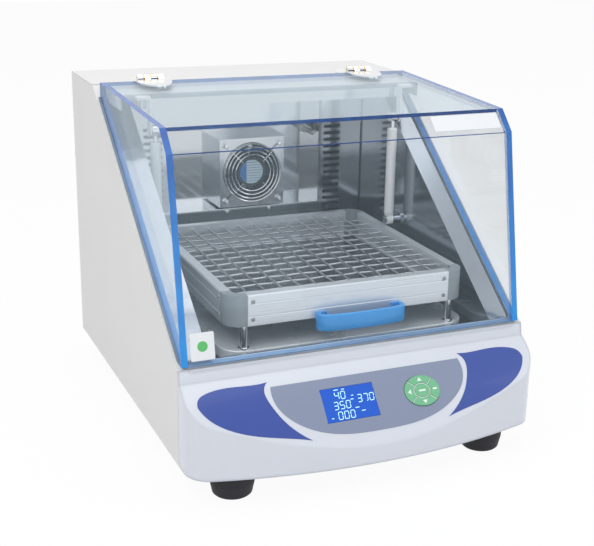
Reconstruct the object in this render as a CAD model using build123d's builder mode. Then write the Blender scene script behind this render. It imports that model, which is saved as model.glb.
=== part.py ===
from build123d import *
import math
import os

os.makedirs("parts", exist_ok=True)

# Benchtop incubator shaker. +X right, +Y to the back, +Z up, millimetres.
# The origin is on the bench, midway between the sides; y = 0 is near the chamber's middle.

# Housing
body_width = 460.0
foot_height = 35.5
body_top = 425.0
rear_y = 283.5
sill_y = -206.0
sill_z = 155.5
bend_y = sill_y + 2.0
slant = math.radians(36.5)
sheet = 1.5
flange = 12.0
fit_gap = 0.3
running_gap = 0.05

# Fascia
fascia_reach = 77.5
fascia_bow_radius = 784.0
fascia_corner = 32.0
fascia_wall = 3.0
lip_run = 4.0
ledge_z = 139.0
slope_run = 70.3
slope_drop = 78.4
slope_radius = 200.0
rim_depth = 9.0
rim_half_width = 216.0

# Chamber liner
chamber_half = 188.0
liner_sheet = 1.2
floor_z = 132.0
chamber_front_y = -196.5
liner_rear_y = 230.0
ceiling_z = 404.0
liner_flange_end_y = 155.0
baffle_y = 194.0
niche_half = 117.0
ledge_top_z = 228.0
vent_column_x = 139.0
vent_slot_width = 28.0
vent_slot_height = 5.0
vent_pitch = 10.0
vent_count = 15
vent_bottom_z = 212.0

# Hood
hood_half = 225.0
cheek_thickness = 8.0
panel_thickness = 5.0
seal_gap = 3.0
gasket_thickness = 2.7
hood_foot = Vector(sill_y, sill_z + seal_gap)
hood_brow_low = Vector(-160.0, 395.5)
hood_brow_high = Vector(-135.3, 420.7)
hood_rear = Vector(137.4, 430.1)
visor_half = 215.0
visor_front_y = 71.3
visor_flange_drop = 18.0

# Hinges
hinge_y = 144.4
hinge_z = 433.4
hinge_x = 155.0
barrel_radius = 4.5
barrel_length = 35.5
knuckle_gap = 1.5
hinge_pin_radius = 2.0
leaf_thickness = 2.0
leaf_half_width = 25.0
leaf_reach = 54.0

# Gas struts
strut_x = 172.5
strut_y = 62.7
strut_low_z = 228.0
strut_high_z = 378.0
strut_tube_radius = 7.0
strut_bore_radius = 5.05
strut_rod_radius = 3.0
strut_tube_low_z = 238.0
strut_tube_high_z = 362.0
strut_pin_radius = 4.0
strut_eye_half = 4.5
hood_bracket_plate = 2.0

# Fan
fan_x = 9.0
fan_z = 281.5
fan_plate_width = 100.0
fan_plate_height = 101.0
fan_front_y = 189.0
fan_frame_size = 92.0
fan_frame_depth = 25.0
fan_bore_radius = 43.0
fan_hub_radius = 21.0
fan_tip_radius = 41.5
fan_blades = 7
guard_radius = 44.0
guard_wire = 0.9
fan_screw_offset = 41.25

# Drive
crank_y = 74.5
idler_x = 110.0
idler_y = -65.5
motor_y = -45.5
orbit_radius = 10.0
deck_top_z = 101.0
deck_sheet = 3.0
pulley_bottom_z = 104.0
pulley_height = 12.0
drive_pulley_radius = 45.0
motor_pulley_radius = 15.0
spindle_radius = 6.0
idler_spindle_radius = 5.0
web_bottom_z = 134.0
web_top_z = 140.5
crank_pin_radius = 5.0
motor_radius = 31.0

# Platform and tray
tray_centre_y = 4.5
platform_size = 335.0
platform_top_z = 150.0
platform_sheet = 2.0
platform_rim = 12.0
platform_corner = 30.0
tray_size = 326.0
tray_bottom_z = 179.3
tray_top_z = 218.5
rail_width = 13.0
tray_corner_radius = 22.0
tray_corner_leg = 26.0
spring_count = 12
spring_radius = 1.5
handle_width = 118.0
handle_bow = 23.0
handle_height = 17.0
handle_strip = 3.5
handle_shift = 10.0

# Feet
foot_radius = 27.0
foot_x = 170.0
foot_front_y = -222.0
foot_rear_y = 240.0

# Controls on the fascia's slope, u from the middle, v down from the ledge
film_thickness = 0.4
display_u = -33.0
display_v = 53.0
display_width = 71.0
display_height = 44.0
keypad_u = 63.0
keypad_v = 53.0
keypad_half_u = 24.0
keypad_half_v = 19.4
key_gap = 1.6
key_travel = 0.5
centre_key_scale = 0.42
switch_turn = math.radians(21.6)
switch_z = 62.5
switch_recess = 1.0
switch_body_depth = 18.0

slope_top = Vector(sill_y - 6.0, ledge_z)
tan_slant = math.tan(slant)
cos_slant = math.cos(slant)


def seat_height(y, lift=0.0):
    """Height of the slanted seat line at y, raised square to itself by lift."""
    slanted = sill_z + (y - bend_y) * tan_slant + lift / cos_slant
    return max(sill_z + lift, slanted)


def seat_points(y_front, y_rear, lift=0.0):
    """The seat line from front to rear as two straight runs."""
    bend = bend_y - lift * math.tan(slant / 2)
    return [(y_front, sill_z + lift), (bend, sill_z + lift), (y_rear, seat_height(y_rear, lift))]


def seat_band(y_front, y_rear, low, high):
    """Outline of a strip that follows the seat line between two lifts."""
    return seat_points(y_front, y_rear, high) + seat_points(y_front, y_rear, low)[::-1]


def below_seat(lift):
    """Everything under the seat line raised by lift, as an outline."""
    far = body_width
    return [(-far, 0.0), (-far, sill_z + lift)] + seat_points(-far, far, lift)[1:] + [(far, 0.0)]


def mitre(before, corner, after, depth):
    """Inner corner of a bent strip of the given depth, on its mitre line."""
    first = (corner - before).normalized()
    second = (after - corner).normalized()
    normal_1 = Vector(first.Y, -first.X)
    normal_2 = Vector(second.Y, -second.X)
    return corner + (normal_1 + normal_2) * (depth / (1 + normal_1.dot(normal_2)))


def visor_height(y):
    """Top of the visor: it falls forward beside the hood's top panel."""
    fall = (hood_rear.Y - hood_brow_high.Y) / (hood_rear.X - hood_brow_high.X)
    return body_top - (top_y - y) * fall


top_y = bend_y + (body_top - sill_z) / tan_slant

# The slope of the fascia is part of a cylinder that lies along X.
slope_chord = math.hypot(slope_run, slope_drop)
slope_half_angle = math.asin(slope_chord / 2 / slope_radius)
slope_down = Vector(-slope_run, -slope_drop) / slope_chord
slope_out = Vector(-slope_drop, slope_run) / slope_chord
slope_mid = slope_top + slope_down * (slope_chord / 2)
slope_centre = slope_mid - slope_out * (slope_radius * math.cos(slope_half_angle))


def slope_point(v, lift=0.0):
    """Point (y, z) on the slope at arc length v below the ledge."""
    angle = v / slope_radius - slope_half_angle
    normal = slope_out * math.cos(angle) + slope_down * math.sin(angle)
    return slope_centre + normal * (slope_radius + lift)


def slope_plane(u, v, lift=0.0):
    """Plane that touches the slope at u, v, with its y axis up the slope."""
    point = slope_point(v, lift)
    normal = (point - slope_centre).normalized()
    return Plane(origin=(u, point.X, point.Y), x_dir=(1, 0, 0), z_dir=(0, normal.X, normal.Y))


# The rounded front corner of the fascia holds the power switch.
bow_angle = math.asin(body_width / 2 / fascia_bow_radius)
bow_side_y = sill_y - fascia_reach + fascia_bow_radius * (1 - math.cos(bow_angle))
corner_start_y = bow_side_y + fascia_corner * math.tan((math.pi / 2 - bow_angle) / 2)
switch_plane = Plane(
    origin=(
        body_width / 2 - fascia_corner * (1 - math.cos(switch_turn)),
        corner_start_y - fascia_corner * math.sin(switch_turn),
        switch_z,
    ),
    x_dir=(math.sin(switch_turn), math.cos(switch_turn), 0),
    z_dir=(math.cos(switch_turn), -math.sin(switch_turn), 0),
)

# Side panels: a plate with folded flanges along the slanted edge and the front
for side, side_name in ((-1, "side_panel_left"), (1, "side_panel_right")):
    with BuildPart() as side_panel:
        with BuildSketch(Plane.YZ.offset(side * body_width / 2)):
            Polygon(
                (sill_y, foot_height),
                *seat_points(sill_y, top_y - sheet / tan_slant),
                (rear_y, body_top - sheet),
                (rear_y, foot_height),
            )
        extrude(amount=-side * flange)
        with BuildSketch(Plane.YZ.offset(side * (body_width / 2 - sheet))):
            Polygon(
                (sill_y + sheet, 0.0),
                *seat_points(sill_y + sheet, body_width, -sheet),
                (body_width, 0.0),
            )
        extrude(amount=-side * flange, mode=Mode.SUBTRACT)
    side_panel.part.label = side_name
    export_step(side_panel.part, f"parts/{side_name}.step")

# Base pan with upturned edges and air slots
with BuildPart() as base_pan:
    pan_length = rear_y - 2 * sheet - sill_y
    pan_middle = (rear_y + sill_y) / 2
    with BuildSketch(Plane.XY.offset(foot_height)):
        with Locations((0, pan_middle)):
            Rectangle(body_width - 2 * sheet, pan_length)
    extrude(amount=20.0)
    with BuildSketch(Plane.XY.offset(foot_height + sheet)):
        with Locations((0, pan_middle)):
            Rectangle(body_width - 4 * sheet, pan_length - 2 * sheet)
    extrude(amount=20.0, mode=Mode.SUBTRACT)
    with BuildSketch(Plane.XY.offset(foot_height)):
        with Locations((0, 190.0)):
            with GridLocations(0, 12.0, 1, 6):
                SlotOverall(120.0, 5.0)
    extrude(amount=sheet, mode=Mode.SUBTRACT)
base_pan.part.label = "base_pan"
export_step(base_pan.part, "parts/base_pan.step")

# Rear panel with a cut-out for the mains inlet and rows of louvre slots
inlet_x = 150.0
inlet_z = 74.0
inlet_width = 28.0
inlet_height = 20.5
with BuildPart() as rear_panel:
    with BuildSketch(Plane.XZ.offset(-rear_y)):
        with Locations((0, (foot_height + body_top - sheet) / 2)):
            Rectangle(body_width - 2 * sheet, body_top - sheet - foot_height)
        with Locations((inlet_x, inlet_z)):
            Rectangle(inlet_width, inlet_height, mode=Mode.SUBTRACT)
        with Locations((0, 80.0)):
            with GridLocations(60.0, 10.0, 2, 5):
                SlotOverall(50.0, 4.0, mode=Mode.SUBTRACT)
    extrude(amount=sheet)
rear_panel.part.label = "rear_panel"
export_step(rear_panel.part, "parts/rear_panel.step")

# Top cover: the rear plate and, in front, a visor with folded sides under the hood
with BuildPart() as top_cover:
    with BuildSketch(Plane.XY.offset(body_top - sheet)):
        with Locations((0, (top_y + rear_y) / 2)):
            Rectangle(body_width, rear_y - top_y)
    extrude(amount=sheet)
    visor_front_z = visor_height(visor_front_y)
    with BuildSketch(Plane.YZ.offset(-visor_half)):
        Polygon(
            (visor_front_y, visor_front_z),
            (top_y, body_top),
            (top_y, body_top - sheet),
            (visor_front_y, visor_front_z - sheet),
        )
    extrude(amount=2 * visor_half)
    for side in (-1, 1):
        with BuildSketch(Plane.YZ.offset(side * visor_half)):
            Polygon(
                (visor_front_y, visor_front_z - sheet),
                (top_y - 1.0, visor_height(top_y - 1.0) - sheet),
                (top_y - 1.0, 0.0),
                (visor_front_y, visor_front_z - visor_flange_drop - 10.0),
            )
            Polygon(*below_seat(fit_gap), mode=Mode.SUBTRACT)
            with Locations((visor_front_y, visor_front_z - visor_flange_drop)):
                Rectangle(200.0, 60.0, align=(Align.MIN, Align.MAX), mode=Mode.SUBTRACT)
        extrude(amount=-side * sheet)
top_cover.part.label = "top_cover"
export_step(top_cover.part, "parts/top_cover.step")


def fascia_block(inset, back):
    """The moulded fascia as a full block, moved in by inset and closed at sill_y + back."""
    half = body_width / 2 - inset
    bow = fascia_bow_radius - inset
    bow_y = sill_y - fascia_reach + fascia_bow_radius
    side_y = bow_y - math.sqrt(bow**2 - half**2)
    with BuildPart() as block:
        with BuildSketch(Plane.XY.offset(foot_height + inset)) as plan:
            with BuildLine():
                Polyline((-half, side_y), (-half, sill_y + back), (half, sill_y + back), (half, side_y))
                ThreePointArc((-half, side_y), (0, bow_y - bow), (half, side_y))
            make_face()
            fillet(plan.vertices().group_by(Axis.Y)[0], radius=fascia_corner - inset)
        extrude(amount=sill_z - foot_height - 2 * inset)
        with BuildSketch(Plane.YZ):
            ledge = slope_point(0.0, -inset)
            middle = slope_point(slope_chord / 2, -inset)
            bottom = slope_point(slope_chord + 12.0, -inset)
            lip_y = sill_y - lip_run + inset
            with BuildLine():
                Polyline(
                    bottom,
                    (bottom.X, 0.0),
                    (sill_y + back, 0.0),
                    (sill_y + back, sill_z),
                    (sill_y - 1.0 + inset, sill_z),
                    (lip_y, ledge_z + 0.5 - inset),
                    ledge,
                )
                ThreePointArc(ledge, middle, bottom)
            make_face()
        extrude(amount=body_width, both=True, mode=Mode.INTERSECT)
    return block


# Front fascia: a bowed moulding with a convex slope for the controls
fascia_outer = fascia_block(0.0, 0.0)
fascia_inner = fascia_block(fascia_wall, 2 * fascia_wall)
with BuildPart() as front_fascia:
    add(fascia_outer.part)
    add(fascia_inner.part, mode=Mode.SUBTRACT)
    with BuildSketch(Plane.YZ.offset(-rim_half_width)):
        Polygon(*seat_band(sill_y - 2.0, sill_y + rim_depth, -fascia_wall, 0.0))
    extrude(amount=2 * rim_half_width)
    with BuildSketch(slope_plane(display_u, display_v, 5.0)):
        Rectangle(display_width - 2.0, display_height - 2.0)
    extrude(amount=-20.0, mode=Mode.SUBTRACT)
    with BuildSketch(slope_plane(keypad_u, keypad_v, 5.0)):
        Ellipse(keypad_half_u + fit_gap, keypad_half_v + fit_gap)
    extrude(amount=-20.0, mode=Mode.SUBTRACT)
    with BuildSketch(switch_plane.offset(2.0)):
        RectangleRounded(15.0, 21.0, 0.8)
    extrude(amount=-12.0, mode=Mode.SUBTRACT)
front_fascia.part.label = "front_fascia"
export_step(front_fascia.part, "parts/front_fascia.step")

# Control film: a grey middle and two side shapes that follow the slope
with BuildPart() as control_overlay:
    with BuildSketch(slope_plane(0.0, slope_chord / 2, 10.0)):
        with BuildLine():
            Spline((-125, 34), (-119, 0), (-100, -18), (-72, -31), (0, -38.5), (72, -31), (100, -18), (119, 0), (125, 34))
            Line((125, 34), (-125, 34))
        make_face()
        for side in (-1, 1):
            with BuildLine():
                Spline((side * 127, 41), (side * 134, 28), (side * 131, 13), (side * 117, -13), (side * 90, -37))
                Spline((side * 90, -37), (side * 134, -27), (side * 182, -12), (side * 205, 4), (side * 216, 22))
                Spline((side * 216, 22), (side * 212, 33), (side * 200, 38.5), (side * 169, 41), (side * 127, 41))
            make_face()
        with Locations((display_u, slope_chord / 2 - display_v)):
            Rectangle(display_width - 2.0, display_height - 2.0, mode=Mode.SUBTRACT)
        with Locations((keypad_u, slope_chord / 2 - keypad_v)):
            Ellipse(keypad_half_u + fit_gap, keypad_half_v + fit_gap, mode=Mode.SUBTRACT)
    extrude(amount=-40.0)
    with BuildSketch(Plane.YZ):
        with Locations((slope_centre.X, slope_centre.Y)):
            Circle(slope_radius + film_thickness)
            Circle(slope_radius, mode=Mode.SUBTRACT)
    extrude(amount=body_width, both=True, mode=Mode.INTERSECT)
control_overlay.part.label = "control_overlay"
export_step(control_overlay.part, "parts/control_overlay.step")

# Display module: window, case and its board behind the slope
board_lift = -16.0
with BuildPart() as display_module:
    with BuildSketch(slope_plane(display_u, display_v, board_lift)):
        Rectangle(display_width + 6.0, display_height + 6.0)
    extrude(amount=-board_lift - fascia_wall - 2.5)
    with BuildSketch(slope_plane(display_u, display_v, board_lift)):
        Rectangle(display_width - 3.0, display_height - 3.0)
    extrude(amount=-board_lift - 0.8)
    with BuildSketch(slope_plane(0.0, display_v, board_lift)):
        RectangleRounded(190.0, 60.0, 3.0)
    extrude(amount=-1.6)
    with BuildSketch(slope_plane(keypad_u, keypad_v, board_lift)):
        Ellipse(keypad_half_u, keypad_half_v)
    extrude(amount=6.0)
display_module.part.label = "display_module"
export_step(display_module.part, "parts/display_module.step")

# Keys: a centre oval in a ring that is cut into four
key_bottom = board_lift + 6.0 + key_travel + fit_gap
key_top = 1.2
for key_name, key_angle in (("key_right", 0), ("key_up", 90), ("key_left", 180), ("key_down", 270)):
    with BuildPart() as ring_key:
        with BuildSketch(slope_plane(keypad_u, keypad_v, key_bottom)):
            Ellipse(keypad_half_u - 0.3, keypad_half_v - 0.3)
            Ellipse(
                keypad_half_u * centre_key_scale + key_gap,
                keypad_half_v * centre_key_scale + key_gap,
                mode=Mode.SUBTRACT,
            )
            reach = 2 * keypad_half_u
            spread = reach * keypad_half_v / keypad_half_u
            corners = [(reach, spread), (-reach, spread), (-reach, -spread), (reach, -spread)]
            quarter = key_angle // 90
            Polygon((0, 0), corners[quarter - 1], corners[quarter], mode=Mode.INTERSECT)
            for corner in (corners[quarter - 1], corners[quarter]):
                slit = math.degrees(math.atan2(corner[1], corner[0]))
                Rectangle(4 * reach, key_gap, rotation=slit, mode=Mode.SUBTRACT)
        extrude(amount=key_top - key_bottom)
    ring_key.part.label = key_name
    export_step(ring_key.part, f"parts/{key_name}.step")
with BuildPart() as key_centre:
    with BuildSketch(slope_plane(keypad_u, keypad_v, key_bottom)):
        Ellipse(keypad_half_u * centre_key_scale, keypad_half_v * centre_key_scale)
    extrude(amount=key_top - key_bottom)
key_centre.part.label = "key_centre"
export_step(key_centre.part, "parts/key_centre.step")

# Power switch in the fascia's right corner, with a rocker that tips about a pin
with BuildPart() as switch_body:
    with BuildSketch(switch_plane.offset(-switch_recess)):
        Rectangle(14.4, 20.4)
    extrude(amount=-switch_body_depth)
    with BuildSketch(switch_plane.offset(-switch_recess)):
        Rectangle(10.6, 16.6)
    extrude(amount=-9.0, mode=Mode.SUBTRACT)
switch_body.part.label = "switch_body"
export_step(switch_body.part, "parts/switch_body.step")
rocker_plane = Plane(
    origin=switch_plane.offset(-switch_recess - 4.0).origin - switch_plane.x_dir * 5.0,
    x_dir=switch_plane.z_dir,
    z_dir=switch_plane.x_dir,
)
with BuildPart() as switch_rocker:
    with BuildSketch(rocker_plane):
        Circle(2.4)
        Polygon((-1.0, -7.0), (2.6, -7.0), (1.4, 0.0), (2.6, 7.0), (-1.0, 7.0))
    extrude(amount=10.0)
switch_rocker.part.label = "switch_rocker"
export_step(switch_rocker.part, "parts/switch_rocker.step")

# Mains inlet in the rear panel
with BuildPart() as power_inlet:
    with BuildSketch(Plane.XZ.offset(-rear_y + sheet)):
        with Locations((inlet_x, inlet_z)):
            Rectangle(inlet_width - 2 * fit_gap, inlet_height - 2 * fit_gap)
    extrude(amount=22.0)
    with BuildSketch(Plane.XZ.offset(-rear_y)):
        with Locations((inlet_x, inlet_z)):
            Rectangle(inlet_width - 2 * fit_gap, inlet_height - 2 * fit_gap)
    extrude(amount=sheet)
    with BuildSketch(Plane.XZ.offset(-rear_y + sheet)):
        with Locations((inlet_x, inlet_z)):
            Rectangle(inlet_width + 8.0, inlet_height + 4.0)
    extrude(amount=1.2)
    with BuildSketch(Plane.XZ.offset(-rear_y)):
        with Locations((inlet_x, inlet_z)):
            RectangleRounded(24.0, 16.5, 3.0)
    extrude(amount=18.0, mode=Mode.SUBTRACT)
    with BuildSketch(Plane.XZ.offset(-rear_y)):
        with Locations((inlet_x - 6.5, inlet_z), (inlet_x, inlet_z + 4.0), (inlet_x + 6.5, inlet_z)):
            Rectangle(2.0, 4.0)
    extrude(amount=20.0)
power_inlet.part.label = "power_inlet"
export_step(power_inlet.part, "parts/power_inlet.step")

# Feet: four rubber cups with a recess for the screw
foot_places = [(x, y) for x in (-foot_x, foot_x) for y in (foot_front_y, foot_rear_y)]
with BuildPart() as feet:
    with BuildSketch(Plane.XZ):
        Polygon(
            (6.0, 10.0),
            (6.0, 0.0),
            (foot_radius - 5.0, 0.0),
            (foot_radius - 3.0, 2.0),
            (foot_radius, 16.0),
            (foot_radius, foot_height),
            (0.0, foot_height),
            (0.0, 10.0),
        )
    revolve(axis=Axis.Z)
    foot_solid = feet.part
feet_group = Compound([foot_solid.moved(Location((x, y, 0))) for x, y in foot_places])
feet_group.label = "feet"
export_step(feet_group, "parts/feet.step")

# Chamber floor with a front upstand and three shaft holes
shaft_places = [(0.0, crank_y), (-idler_x, idler_y), (idler_x, idler_y)]
shaft_hole_radius = spindle_radius + 4.0
liner_half = chamber_half - fit_gap
with BuildPart() as liner_floor:
    with BuildSketch(Plane.YZ.offset(-liner_half)):
        Polygon(
            (chamber_front_y, seat_height(chamber_front_y)),
            (chamber_front_y, floor_z - liner_sheet),
            (liner_rear_y, floor_z - liner_sheet),
            (liner_rear_y, floor_z),
            (chamber_front_y + liner_sheet, floor_z),
            (chamber_front_y + liner_sheet, seat_height(chamber_front_y)),
        )
    extrude(amount=2 * liner_half)
    with BuildSketch(Plane.XY.offset(floor_z)):
        with Locations(*shaft_places):
            Circle(shaft_hole_radius + liner_sheet)
    extrude(amount=1.0)
    with BuildSketch(Plane.XY.offset(floor_z - 5.0)):
        with Locations(*shaft_places):
            Circle(shaft_hole_radius)
    extrude(amount=10.0, mode=Mode.SUBTRACT)
liner_floor.part.label = "liner_floor"
export_step(liner_floor.part, "parts/liner_floor.step")

# Chamber walls with slanted flanges that carry the seal's inner edge
with BuildPart() as liner_sides:
    with BuildSketch(Plane.YZ.offset(chamber_half)):
        Polygon(
            (chamber_front_y, floor_z - liner_sheet),
            (chamber_front_y, seat_height(chamber_front_y)),
            (liner_flange_end_y, seat_height(liner_flange_end_y)),
            (liner_flange_end_y, ceiling_z + liner_sheet),
            (liner_rear_y + liner_sheet, ceiling_z + liner_sheet),
            (liner_rear_y + liner_sheet, floor_z - liner_sheet),
        )
    extrude(amount=liner_sheet)
    with BuildSketch(Plane.YZ.offset(chamber_half)):
        Polygon(
            (chamber_front_y, seat_height(chamber_front_y)),
            (liner_flange_end_y, seat_height(liner_flange_end_y)),
            (liner_flange_end_y, seat_height(liner_flange_end_y, -liner_sheet)),
            (chamber_front_y, seat_height(chamber_front_y, -liner_sheet)),
        )
    extrude(amount=rim_half_width - chamber_half)
    mirror(about=Plane.YZ)
liner_sides.part.label = "liner_sides"
export_step(liner_sides.part, "parts/liner_sides.step")

# Chamber back wall
with BuildPart() as liner_rear:
    with BuildSketch(Plane.XZ.offset(-liner_rear_y - liner_sheet)):
        with Locations((0, (floor_z - liner_sheet + ceiling_z + liner_sheet) / 2)):
            Rectangle(2 * liner_half, ceiling_z - floor_z + 2 * liner_sheet)
    extrude(amount=liner_sheet)
liner_rear.part.label = "liner_rear"
export_step(liner_rear.part, "parts/liner_rear.step")

# Chamber ceiling, turned up at the front to the visor
ceiling_front_y = visor_front_y + sheet
with BuildPart() as liner_ceiling:
    with BuildSketch(Plane.YZ.offset(-liner_half)):
        Polygon(
            (ceiling_front_y, visor_height(ceiling_front_y) - sheet),
            (ceiling_front_y, ceiling_z),
            (liner_rear_y, ceiling_z),
            (liner_rear_y, ceiling_z + liner_sheet),
            (ceiling_front_y + liner_sheet, ceiling_z + liner_sheet),
            (ceiling_front_y + liner_sheet, visor_height(ceiling_front_y + liner_sheet) - sheet),
        )
    extrude(amount=2 * liner_half)
liner_ceiling.part.label = "liner_ceiling"
export_step(liner_ceiling.part, "parts/liner_ceiling.step")

# Rear baffle: lower band, ledge, two slotted columns and their returns to the back wall
baffle_half = chamber_half - 2.0
baffle_top_z = ceiling_z - fit_gap
baffle_depth = liner_rear_y - baffle_y
with BuildPart() as rear_baffle:
    with BuildSketch(Plane.XZ.offset(-baffle_y - liner_sheet)):
        with Locations((0, floor_z)):
            Rectangle(2 * baffle_half, baffle_top_z - floor_z, align=(Align.CENTER, Align.MIN))
        with Locations((0, ledge_top_z)):
            Rectangle(2 * niche_half, 400.0, align=(Align.CENTER, Align.MIN), mode=Mode.SUBTRACT)
        with Locations((0, vent_bottom_z + (vent_count - 1) * vent_pitch / 2)):
            with GridLocations(2 * vent_column_x, vent_pitch, 2, vent_count):
                SlotOverall(vent_slot_width, vent_slot_height, mode=Mode.SUBTRACT)
    extrude(amount=liner_sheet)
    with BuildSketch(Plane.XZ.offset(-liner_rear_y)):
        with Locations((0, ledge_top_z)):
            Rectangle(2 * niche_half, liner_sheet, align=(Align.CENTER, Align.MAX))
        for side in (-1, 1):
            with Locations((side * (niche_half + liner_sheet / 2), ledge_top_z - liner_sheet)):
                Rectangle(liner_sheet, baffle_top_z - ledge_top_z + liner_sheet, align=(Align.CENTER, Align.MIN))
    extrude(amount=baffle_depth)
rear_baffle.part.label = "rear_baffle"
export_step(rear_baffle.part, "parts/rear_baffle.step")

# Insulation slabs between the liner and the housing
slab_out_x = body_width / 2 - sheet - fit_gap
slab_in_x = chamber_half + liner_sheet + fit_gap
slab_low_z = floor_z - liner_sheet
with BuildPart() as insulation:
    with BuildSketch(Plane.YZ.offset(slab_in_x)):
        Polygon(
            (sill_y + sheet + fit_gap, slab_low_z),
            *seat_points(sill_y + sheet + fit_gap, liner_flange_end_y, -fascia_wall - fit_gap),
            (liner_rear_y + liner_sheet, seat_height(liner_flange_end_y, -fascia_wall - fit_gap)),
            (liner_rear_y + liner_sheet, slab_low_z),
        )
    extrude(amount=slab_out_x - slab_in_x)
    mirror(about=Plane.YZ)
    with BuildSketch(Plane.XY.offset(slab_low_z)):
        with Locations((0, (liner_rear_y + liner_sheet + rear_y - sheet) / 2)):
            Rectangle(2 * slab_out_x, rear_y - sheet - liner_rear_y - liner_sheet - 2 * fit_gap)
    extrude(amount=ceiling_z - slab_low_z)
    with BuildSketch(Plane.XY.offset(ceiling_z + liner_sheet + fit_gap)):
        with Locations((0, (ceiling_front_y + 3.0 + liner_rear_y) / 2)):
            Rectangle(2 * liner_half - 2.0, liner_rear_y - ceiling_front_y - 3.0)
    extrude(amount=13.0)
insulation.part.label = "insulation"
export_step(insulation.part, "parts/insulation.step")

# Hood seal: a ring on the slanted opening, and a strip on the visor's front edge
seal_outer = 227.0
seal_inner = 217.0
seal_corner = 15.0
seal_front_y = sill_y - 1.0
seal_depth = 6.0
with BuildPart() as lid_gasket:
    with BuildSketch(Plane.XY):
        with Locations((0, seal_front_y)):
            RectangleRounded(2 * seal_outer, 600.0, seal_corner, align=(Align.CENTER, Align.MIN))
        with Locations((0, seal_front_y + seal_depth)):
            RectangleRounded(
                2 * seal_inner, 700.0, seal_corner - seal_depth, align=(Align.CENTER, Align.MIN), mode=Mode.SUBTRACT
            )
    extrude(amount=body_top)
    with BuildSketch(Plane.YZ):
        Polygon(*seat_band(seal_front_y - 1.0, hood_rear.X, 0.0, gasket_thickness))
    extrude(amount=body_width, both=True, mode=Mode.INTERSECT)
    with BuildSketch(Plane.YZ.offset(sheet - visor_half - fit_gap + 1.0)):
        strip_low = visor_front_y - 3.0
        strip_high = visor_front_y + 7.0
        Polygon(
            (strip_low, visor_height(strip_low) + 0.45),
            (strip_high, visor_height(strip_high) + 0.45),
            (strip_high, visor_height(strip_high)),
            (visor_front_y, visor_height(visor_front_y)),
            (visor_front_y, visor_height(visor_front_y) - sheet),
            (strip_low, visor_height(strip_low) - 4.0),
        )
    extrude(amount=2 * (visor_half - sheet + fit_gap - 1.0))
lid_gasket.part.label = "lid_gasket"
export_step(lid_gasket.part, "parts/lid_gasket.step")

# Hood panels between the cheeks, mitred along the two bends
panel_half = hood_half - cheek_thickness
inner_foot = mitre(hood_foot - (hood_brow_low - hood_foot), hood_foot, hood_brow_low, panel_thickness)
inner_foot = inner_foot - (hood_brow_low - hood_foot) * 0.1
inner_low = mitre(hood_foot, hood_brow_low, hood_brow_high, panel_thickness)
inner_high = mitre(hood_brow_low, hood_brow_high, hood_rear, panel_thickness)
top_slope = (hood_rear - hood_brow_high).normalized()
inner_rear = hood_rear - Vector(0.0, panel_thickness / top_slope.X)
outer_foot = hood_foot - (hood_brow_low - hood_foot) * 0.1
for panel_name, corners in (
    ("lid_front", [outer_foot, hood_brow_low, inner_low, inner_foot]),
    ("lid_brow", [hood_brow_low, hood_brow_high, inner_high, inner_low]),
    ("lid_top", [hood_brow_high, hood_rear, inner_rear, inner_high]),
):
    with BuildPart() as hood_panel:
        with BuildSketch(Plane.YZ.offset(-panel_half)):
            Polygon(*corners)
            Polygon(*below_seat(seal_gap), mode=Mode.SUBTRACT)
        extrude(amount=2 * panel_half)
    hood_panel.part.label = panel_name
    export_step(hood_panel.part, f"parts/{panel_name}.step")

# Hood cheeks: the two side panels of the hood
with BuildPart() as lid_cheeks:
    with BuildSketch(Plane.YZ.offset(panel_half)):
        Polygon(outer_foot, hood_brow_low, hood_brow_high, hood_rear, (hood_rear.X, 0.0))
        Polygon(*below_seat(seal_gap), mode=Mode.SUBTRACT)
    extrude(amount=cheek_thickness)
    mirror(about=Plane.YZ)
lid_cheeks.part.label = "lid_cheeks"
export_step(lid_cheeks.part, "parts/lid_cheeks.step")

# Hinges: four knuckles each, two on the hood and two on the body
knuckle_length = (barrel_length - 3 * knuckle_gap) / 4
knuckle_starts = [-barrel_length / 2 + i * (knuckle_length + knuckle_gap) for i in range(4)]

body_web_y = hinge_y + barrel_radius + 0.5
with BuildPart() as hinge_body_leaves:
    for hinge_middle in (-hinge_x, hinge_x):
        with BuildSketch(Plane.XY.offset(body_top)):
            with Locations((hinge_middle, body_web_y)):
                Ellipse(leaf_half_width, leaf_reach - barrel_radius)
            with Locations((hinge_middle, body_web_y)):
                Rectangle(200.0, 200.0, align=(Align.CENTER, Align.MAX), mode=Mode.SUBTRACT)
        extrude(amount=leaf_thickness)
        for start in knuckle_starts[0::2]:
            with BuildSketch(Plane.YZ.offset(hinge_middle + start)):
                Polygon(
                    (hinge_y, hinge_z + 0.5),
                    (body_web_y + 2.0, body_top + leaf_thickness),
                    (body_web_y + 2.0, body_top),
                    (hinge_y, body_top),
                )
                with Locations((hinge_y, hinge_z)):
                    Circle(barrel_radius)
            extrude(amount=knuckle_length)
        with BuildSketch(Plane.YZ.offset(hinge_middle - barrel_length / 2)):
            with Locations((hinge_y, hinge_z)):
                Circle(hinge_pin_radius + running_gap)
        extrude(amount=barrel_length, mode=Mode.SUBTRACT)
hinge_body_leaves.part.label = "hinge_body_leaves"
export_step(hinge_body_leaves.part, "parts/hinge_body_leaves.step")

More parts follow.
